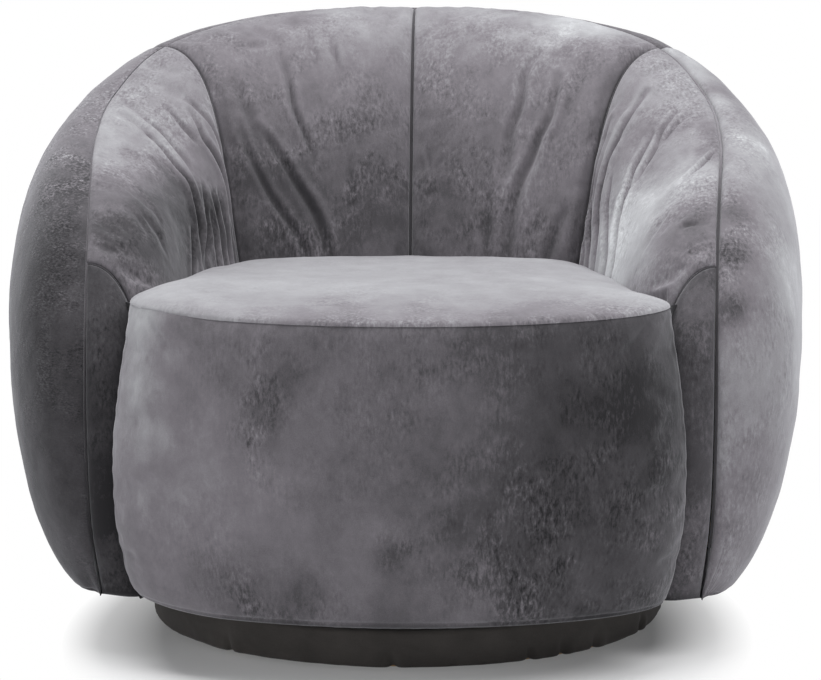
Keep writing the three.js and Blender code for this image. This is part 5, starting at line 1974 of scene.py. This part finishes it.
@dataclass
class HiddenSoftParts:
    """The foam core, the straps under it and the thin cloths below."""

    open_foam: Material
    webbing: Material
    lining: Material
    around: int = 120
    foam_centre: Plan = (0.0, -0.11)
    foam_roll: float = 7 * MM
    foam_inset: float = 3 * MM
    foam_swell: float = 1.5 * MM
    strap_half: float = 0.95 * MM
    selvedge: float = 0.25 * MM
    ripple: float = 0.12 * MM
    strap_grid: tuple[int, int] = (9, 60)
    strap_ends: tuple[list[str], ...] = (["side_rail_left", "side_rail_right"], ["front_panel", "back_rail"])
    cloth_thick: float = 0.6 * MM
    cloth_rows: int = 14

    def foam(self) -> None:
        """The foam core, a rounded block with the seat's plan."""
        low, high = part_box("seat_foam")
        centre = self.foam_centre
        angles = full_turn(self.around)
        reach = node_outline("seat_foam", centre, angles)
        height = high[2] - low[2]
        shares = np.concatenate([np.linspace(0, 0.12, 5), np.linspace(0.2, 0.8, 6), np.linspace(0.88, 1, 5)])
        rings = []
        for share in shares:
            edge = min(min(share, 1 - share) * height / self.foam_roll, 1)
            roll = self.foam_roll * (1 - math.sqrt(1 - (1 - edge) ** 2))
            radius = reach - self.foam_inset - roll + self.foam_swell * math.sin(math.pi * share)
            rings.append(round_points(angles, radius, low[2] + share * height, centre))
        rim = rings[-1]
        for share in (0.6, 0.25):
            ring = rim.copy()
            ring[:, :2] = np.array(centre) + (ring[:, :2] - np.array(centre)) * share
            ring[:, 2] = high[2]
            rings.append(ring)
        points = np.concatenate([*rings, [[*centre, high[2]]], [[*centre, low[2]]]])
        foam = make_piece("seat_foam_core", points, capped_faces(len(rings), self.around), self.open_foam)
        settle(foam, "seat", ("seat_foam",))

    def straps(self) -> None:
        """The seat webbing, each strap with thin selvedges and a slight ripple."""
        rows, columns = self.strap_grid
        u = np.linspace(0, 1, rows)[:, None]
        v = np.linspace(0, 1, columns)[None, :]
        half = self.strap_half - np.where((u < 0.1) | (u > 0.9), 0.0, self.selvedge)
        for name in sorted(n for n in frame["nodes"] if "_web_" in n):
            low, high = (np.array(corner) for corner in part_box(name))
            lengthwise = 0 if high[0] - low[0] > high[1] - low[1] else 1
            other = 1 - lengthwise
            top = np.zeros((rows, columns, 3))
            top[..., lengthwise] = low[lengthwise] + v * (high - low)[lengthwise]
            top[..., other] = low[other] + u * (high - low)[other]
            under = top.copy()
            middle = (low[2] + high[2]) / 2 + self.ripple * np.sin(v * 40)
            top[..., 2] = middle + half
            under[..., 2] = middle - half
            strap = make_piece(f"{name}_strap", both_faces(top, under), closed_faces(rows, columns),
                               self.webbing)
            settle(strap, "seat", (name,))

    def dust_cloth(self) -> None:
        """The thin cloth stapled under the base board, with its round opening for the swivel."""
        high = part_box("underside_cloth")[1]
        outer = node_outline("underside_cloth", (0.0, 0.0), full_turn(2 * self.around)) - 1 * MM
        self.flat_ring("underside_dust_cloth", 226 * MM, outer, float(high[2]), 1.6 * MM, "seat",
                       "underside_cloth")

    def plinth_liner(self) -> None:
        """The round cloth under the plinth."""
        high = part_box("plinth_liner")[1]
        outer = np.full(self.around, float(high[0]) - 0.5 * MM)
        self.flat_ring("plinth_underside_cloth", 4 * MM, outer, float(high[2]), 0.5 * MM, "plinth",
                       "plinth_liner")

    def flat_ring(self, name: str, inner: float, outer: Array, top: float, sag: float, body: str,
                  node: str) -> None:
        """A thin flat cloth between a round hole and an outline, sagging a little between its staples.

        Args:
            name: the piece's name.
            inner: the hole's radius.
            outer: the outline's reach in even directions all the way round.
            top: height of its upper face.
            sag: how far it hangs between the staples.
            body: the body it moves with.
            node: the node that it stands for.
        """
        angles = full_turn(len(outer))
        share = np.linspace(0, 1, self.cloth_rows)[:, None]
        radius = inner + (outer[None, :] - inner) * share
        flat = round_points(angles, radius, 0.0)
        hang = sag * np.sin(np.pi * share) * (0.6 + 0.4 * fractal(flat, 60 * MM, 2, 401))
        under = round_points(angles, radius, top - self.cloth_thick - hang)
        over = round_points(angles, radius, top - hang)
        faces = lined_faces(self.cloth_rows, len(outer))
        cloth = make_piece(name, both_faces(over, under), faces, self.lining)
        settle(cloth, body, (node,))


@dataclass
class PlinthCloth:
    """Dark cloth wrapped round the plinth, pulled over its edges with small tucks.

    The tucks are at angles in degrees. Each is a pinch with a ridge on both sides: the depth in
    metres, then the place and width in degrees.
    """

    finish: Material
    around: int = 720
    clearance: float = 3 * MM
    lip: float = 34 * MM
    thick: float = 2.2 * MM
    corner: float = 7 * MM
    belly: float = 1.2 * MM
    slack: float = 1.3 * MM
    notch: float = 2 * MM
    notch_width: float = 0.75
    tucks: Values = (-130.5, -91.5, -61, -52.5, -43, -24, 2, 31, 63, 97, 128, 166)
    pinches: tuple[Triple, ...] = ((-4.2 * MM, 0.0, 0.8), (2.6 * MM, 2.2, 1.3), (1.4 * MM, -3.0, 2.2))

    def profile(self) -> tuple[Array, Array]:
        """The cloth's outer face in section, from the lower lip round to the upper lip.

        Returns:
            Radius and height of each point.
        """
        low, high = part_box("plinth_cover")
        radius, bottom, top = high[0] + self.clearance, low[2] + 0.2 * MM, high[2]
        turn = np.linspace(0, RIGHT_ANGLE, 7)
        r = [radius - self.lip, radius - self.lip / 2, *(radius - self.corner + self.corner * np.sin(turn))]
        z = [bottom, bottom, *(bottom + self.corner - self.corner * np.cos(turn))]
        side = np.linspace(0.15, 0.85, 9)
        r += [radius + self.belly * math.sin(math.pi * s) for s in side]
        z += [bottom + self.corner + (top - bottom - 2 * self.corner) * s for s in side]
        r += [*(radius - self.corner + self.corner * np.cos(turn)), radius - self.lip / 2, radius - self.lip]
        z += [*(top - self.corner + self.corner * np.sin(turn)), top, top]
        return np.array(r), np.array(z)

    def draped(self, r: Array, z: Array, angles: Array) -> tuple[Array, Array]:
        """The outer face with its slack and its tucks.

        Args:
            r: radius of each point of the section.
            z: height of each point of the section.
            angles: directions in radians.

        Returns:
            Radius and height, by points of the section and directions.
        """
        level = ((z - z.min()) / (z.max() - z.min()))[:, None]
        ring = np.broadcast_to(round_points(angles, 3.0, 0.0), (len(r), self.around, 3))
        slack = fractal(ring + level[..., None] * 0.6, 0.35, 3, 501)
        radius = np.repeat(r[:, None], self.around, 1) + slack * self.slack
        height = np.repeat(z[:, None], self.around, 1)
        fade = np.exp(-(((level - 0.15) / 0.28) ** 2))
        for tuck in self.tucks:
            away = (np.degrees(angles) - tuck + 180) % 360 - 180
            slant = away + 1.5 * (level - 0.2)
            for depth, place, width in self.pinches:
                radius = radius + depth * np.exp(-(((slant - place) / width) ** 2)) * fade
            notch = np.exp(-((slant / self.notch_width) ** 2)) * np.exp(-((level / 0.16) ** 2))
            height = height + self.notch * notch
        return radius, height

    def build(self) -> None:
        """The finished wrap."""
        r, z = self.profile()
        angles = full_turn(self.around)
        radius, height = self.draped(r, z, angles)
        section = np.stack([r, z], -1)
        tangent = np.gradient(section, axis=0)
        inward = unit(np.stack([-tangent[:, 1], tangent[:, 0]], -1)) * self.thick
        outer = round_points(angles, radius, height)
        inner = round_points(angles, radius + inward[:, :1], height + inward[:, 1:])
        faces = lined_faces(len(r), self.around)
        cloth = make_piece("plinth_wrap_cloth", both_faces(outer, inner), faces, self.finish)
        settle(cloth, "plinth", ("plinth_cover",))


@dataclass
class BareFrame:
    """The boards, rails, plates and bolts that stay as they are, in their real materials."""

    finishes: dict[str, Material]

    def dress(self) -> None:
        """Gives every node that still shows the material of its slot."""
        slots = {part["node"]: part["material_slot"] for part in frame["record"]["subparts"]}
        for name, node in frame["nodes"].items():
            if node.hide_render:
                continue
            node.data.materials.clear()
            node.data.materials.append(self.finishes[slots[name]])
            log.info("%s: kept, in %s", name, slots[name])


# Studio


@dataclass
class Studio:
    """A pale floor, plain soft light and the camera at the photograph's place.

    Each lamp has a name, a place, a size in metres and a power in watts. The floor fades into the
    white round the chair: places are shares of its spread.
    """

    camera_place: Triple = (0.15077, -4.79763, 1.13467)
    aim: Triple = (0.0, 0.0, 0.385)
    image_width: float = 821.0
    image_height: float = 680.0
    focal_pixels: float = 3674.56
    aim_pixel: Plan = (407.0, 327.1)
    sensor: float = 36.0
    lamps: tuple[tuple[str, Triple, float, float], ...] = (
        ("key_lamp", (1.9, -1.6, 3.0), 2.0, 60.0),
        ("top_lamp", (-0.2, -0.3, 3.4), 2.4, 95.0),
        ("fill_lamp", (-3.0, -1.6, 1.3), 2.0, 22.0),
    )
    lamp_aim: Triple = (0.0, 0.0, 0.4)
    surround: Settings = (("Color", (0.95, 0.97, 1, 1)), ("Strength", 0.3))
    shown: Settings = (("Color", (1, 1, 1, 1)), ("Strength", 1.0))
    floor_half: float = 14.0
    floor_settings: Settings = (("Base Color", (0.9, 0.9, 0.905, 1.0)), ("Roughness", 0.9),
                                ("Specular IOR Level", 0.1))
    floor_spread: Settings = (("Location", (-0.01, 0.12, 0.0)), ("Scale", (1 / 0.5, 1 / 0.75, 0.0)))
    floor_fade: Stops = ((0.3, grey(0.17)), (0.64, grey(0.08)), (0.8, grey(0.42)), (0.9, grey(1)))

    def point_at(self, thing: Piece, place: Triple, target: Triple) -> None:
        """Puts a camera or lamp at a place and turns it to a target."""
        thing.location = place
        thing.rotation_euler = (Vector(target) - Vector(place)).to_track_quat("-Z", "Y").to_euler()

    def camera(self) -> None:
        """Places the camera, with the small shift that the photograph's framing needs."""
        data = bpy.data.cameras.new("photo_camera")
        data.sensor_width = self.sensor
        data.lens = self.focal_pixels / self.image_width * self.sensor
        data.shift_x = (self.image_width / 2 - self.aim_pixel[0]) / self.image_width
        data.shift_y = -(self.image_height / 2 - self.aim_pixel[1]) / self.image_width
        camera = add_object("photo_camera", data)
        self.point_at(camera, self.camera_place, self.aim)
        bpy.context.scene.camera = camera

    def light(self) -> None:
        """Square soft lamps that face the chair."""
        for name, place, size, watts in self.lamps:
            data = bpy.data.lights.new(name, "AREA")
            data.size = size
            data.energy = watts
            self.point_at(add_object(name, data), place, self.lamp_aim)

    def world(self) -> None:
        """An even surround that lights the chair softly and shows white behind it."""
        world = bpy.data.worlds.new("studio")
        bpy.context.scene.world = world
        world.use_nodes = True
        world.node_tree.nodes.clear()
        nodes = Nodes(world.node_tree)
        shown = nodes.add("ShaderNodeBackground", self.shown)
        lighting = nodes.add("ShaderNodeBackground", self.surround)
        path = nodes.add("ShaderNodeLightPath").outputs
        seen = nodes.maths("MAXIMUM", path["Is Camera Ray"], path["Is Glossy Ray"])
        seen = nodes.maths("MAXIMUM", seen, path["Is Transmission Ray"])
        mix = nodes.add("ShaderNodeMixShader")
        out = nodes.add("ShaderNodeOutputWorld")
        nodes.join(seen, mix.inputs["Fac"])
        nodes.join(lighting.outputs[0], mix.inputs[1])
        nodes.join(shown.outputs[0], mix.inputs[2])
        nodes.join(mix.outputs[0], out.inputs["Surface"])

    def floor(self) -> None:
        """A pale floor that keeps the chair's shadow."""
        half = self.floor_half
        mesh = bpy.data.meshes.new("studio_floor")
        mesh.from_pydata([(-half, -half, 0), (half, -half, 0), (half, half, 0), (-half, half, 0)], [],
                         [(0, 1, 2, 3)])
        floor = add_object("studio_floor", mesh)
        shader = Shader("pale_floor")
        shader.fix(self.floor_settings)
        reach = shader.add("ShaderNodeVectorMath")
        reach.operation = "LENGTH"
        shader.join(shader.mapped(self.floor_spread), reach.inputs[0])
        fade = shader.ramp(reach.outputs["Value"], self.floor_fade)
        glow = shader.add("ShaderNodeEmission", (("Color", (1, 1, 1, 1)),))
        path = shader.add("ShaderNodeLightPath")
        mix = shader.add("ShaderNodeMixShader")
        shader.join(shader.maths("MULTIPLY", path.outputs["Is Camera Ray"], fade), mix.inputs["Fac"])
        shader.join(shader.surface.outputs["BSDF"], mix.inputs[1])
        shader.join(glow.outputs["Emission"], mix.inputs[2])
        shader.join(mix.outputs[0], shader.tree.nodes["Material Output"].inputs["Surface"])
        mesh.materials.append(shader.material)

    def build(self) -> None:
        """The whole studio."""
        self.camera()
        self.world()
        self.light()
        self.floor()
        bpy.context.scene.view_settings.view_transform = "Standard"


def steel(roughness: float) -> Settings:
    """A metal surface's values."""
    return (("Metallic", 1.0), ("Roughness", roughness))


def main() -> None:
    """Builds the chair's soft parts, dresses its frame and lights it."""
    logging.basicConfig(level=logging.INFO, format="%(name)s %(message)s")
    Studio().build()
    velvet = Velvet("velvet_pad").build()
    flecks = replace(Velvet.stroke, stretch=(1.1, 0.7, 2.2))
    dark_side = Velvet("velvet_dark_side", mottle_share=0.34, stroke=flecks).build()
    bright_side = Velvet("velvet_bright_side", cloud_share=0.16).build()
    black = StretchedCloth("black_lining", linear(14, 14, 14), linear(34, 34, 35), weave(700.0)).build()
    webbing = StretchedCloth("woven_webbing", linear(40, 40, 42), linear(78, 78, 80), weave(380.0)).build()
    inner = InnerShell(velvet)
    inner.back_pads()
    inner.wing_pads()
    inner.arm_fronts()
    outer = OuterShell({Side.LEFT: dark_side, Side.RIGHT: bright_side}, velvet)
    outer.side_covers()
    outer.back_cover()
    FasciaPanel(velvet).build()
    SeatCushion(velvet).build()
    Seams(velvet).build()
    closings = Closings(velvet, black)
    closings.strips()
    closings.board_edge()
    soft = HiddenSoftParts(OpenFoam().build(), webbing, black)
    soft.foam()
    soft.straps()
    soft.dust_cloth()
    soft.plinth_liner()
    PlinthCloth(StretchedCloth("plinth_wrap").build()).build()
    rolled = Metal("rolled_steel", linear(120, 122, 125), linear(178, 180, 184), settings=steel(0.42))
    plated = Metal("zinc_plate", linear(150, 152, 150), linear(205, 207, 206), settings=steel(0.32))
    BareFrame({"plywood": Plywood().build(), "steel": rolled.build(), "zinc": plated.build(),
               "nylon": MouldedNylon().build()}).dress()


if __name__ == "__main__":
    main()
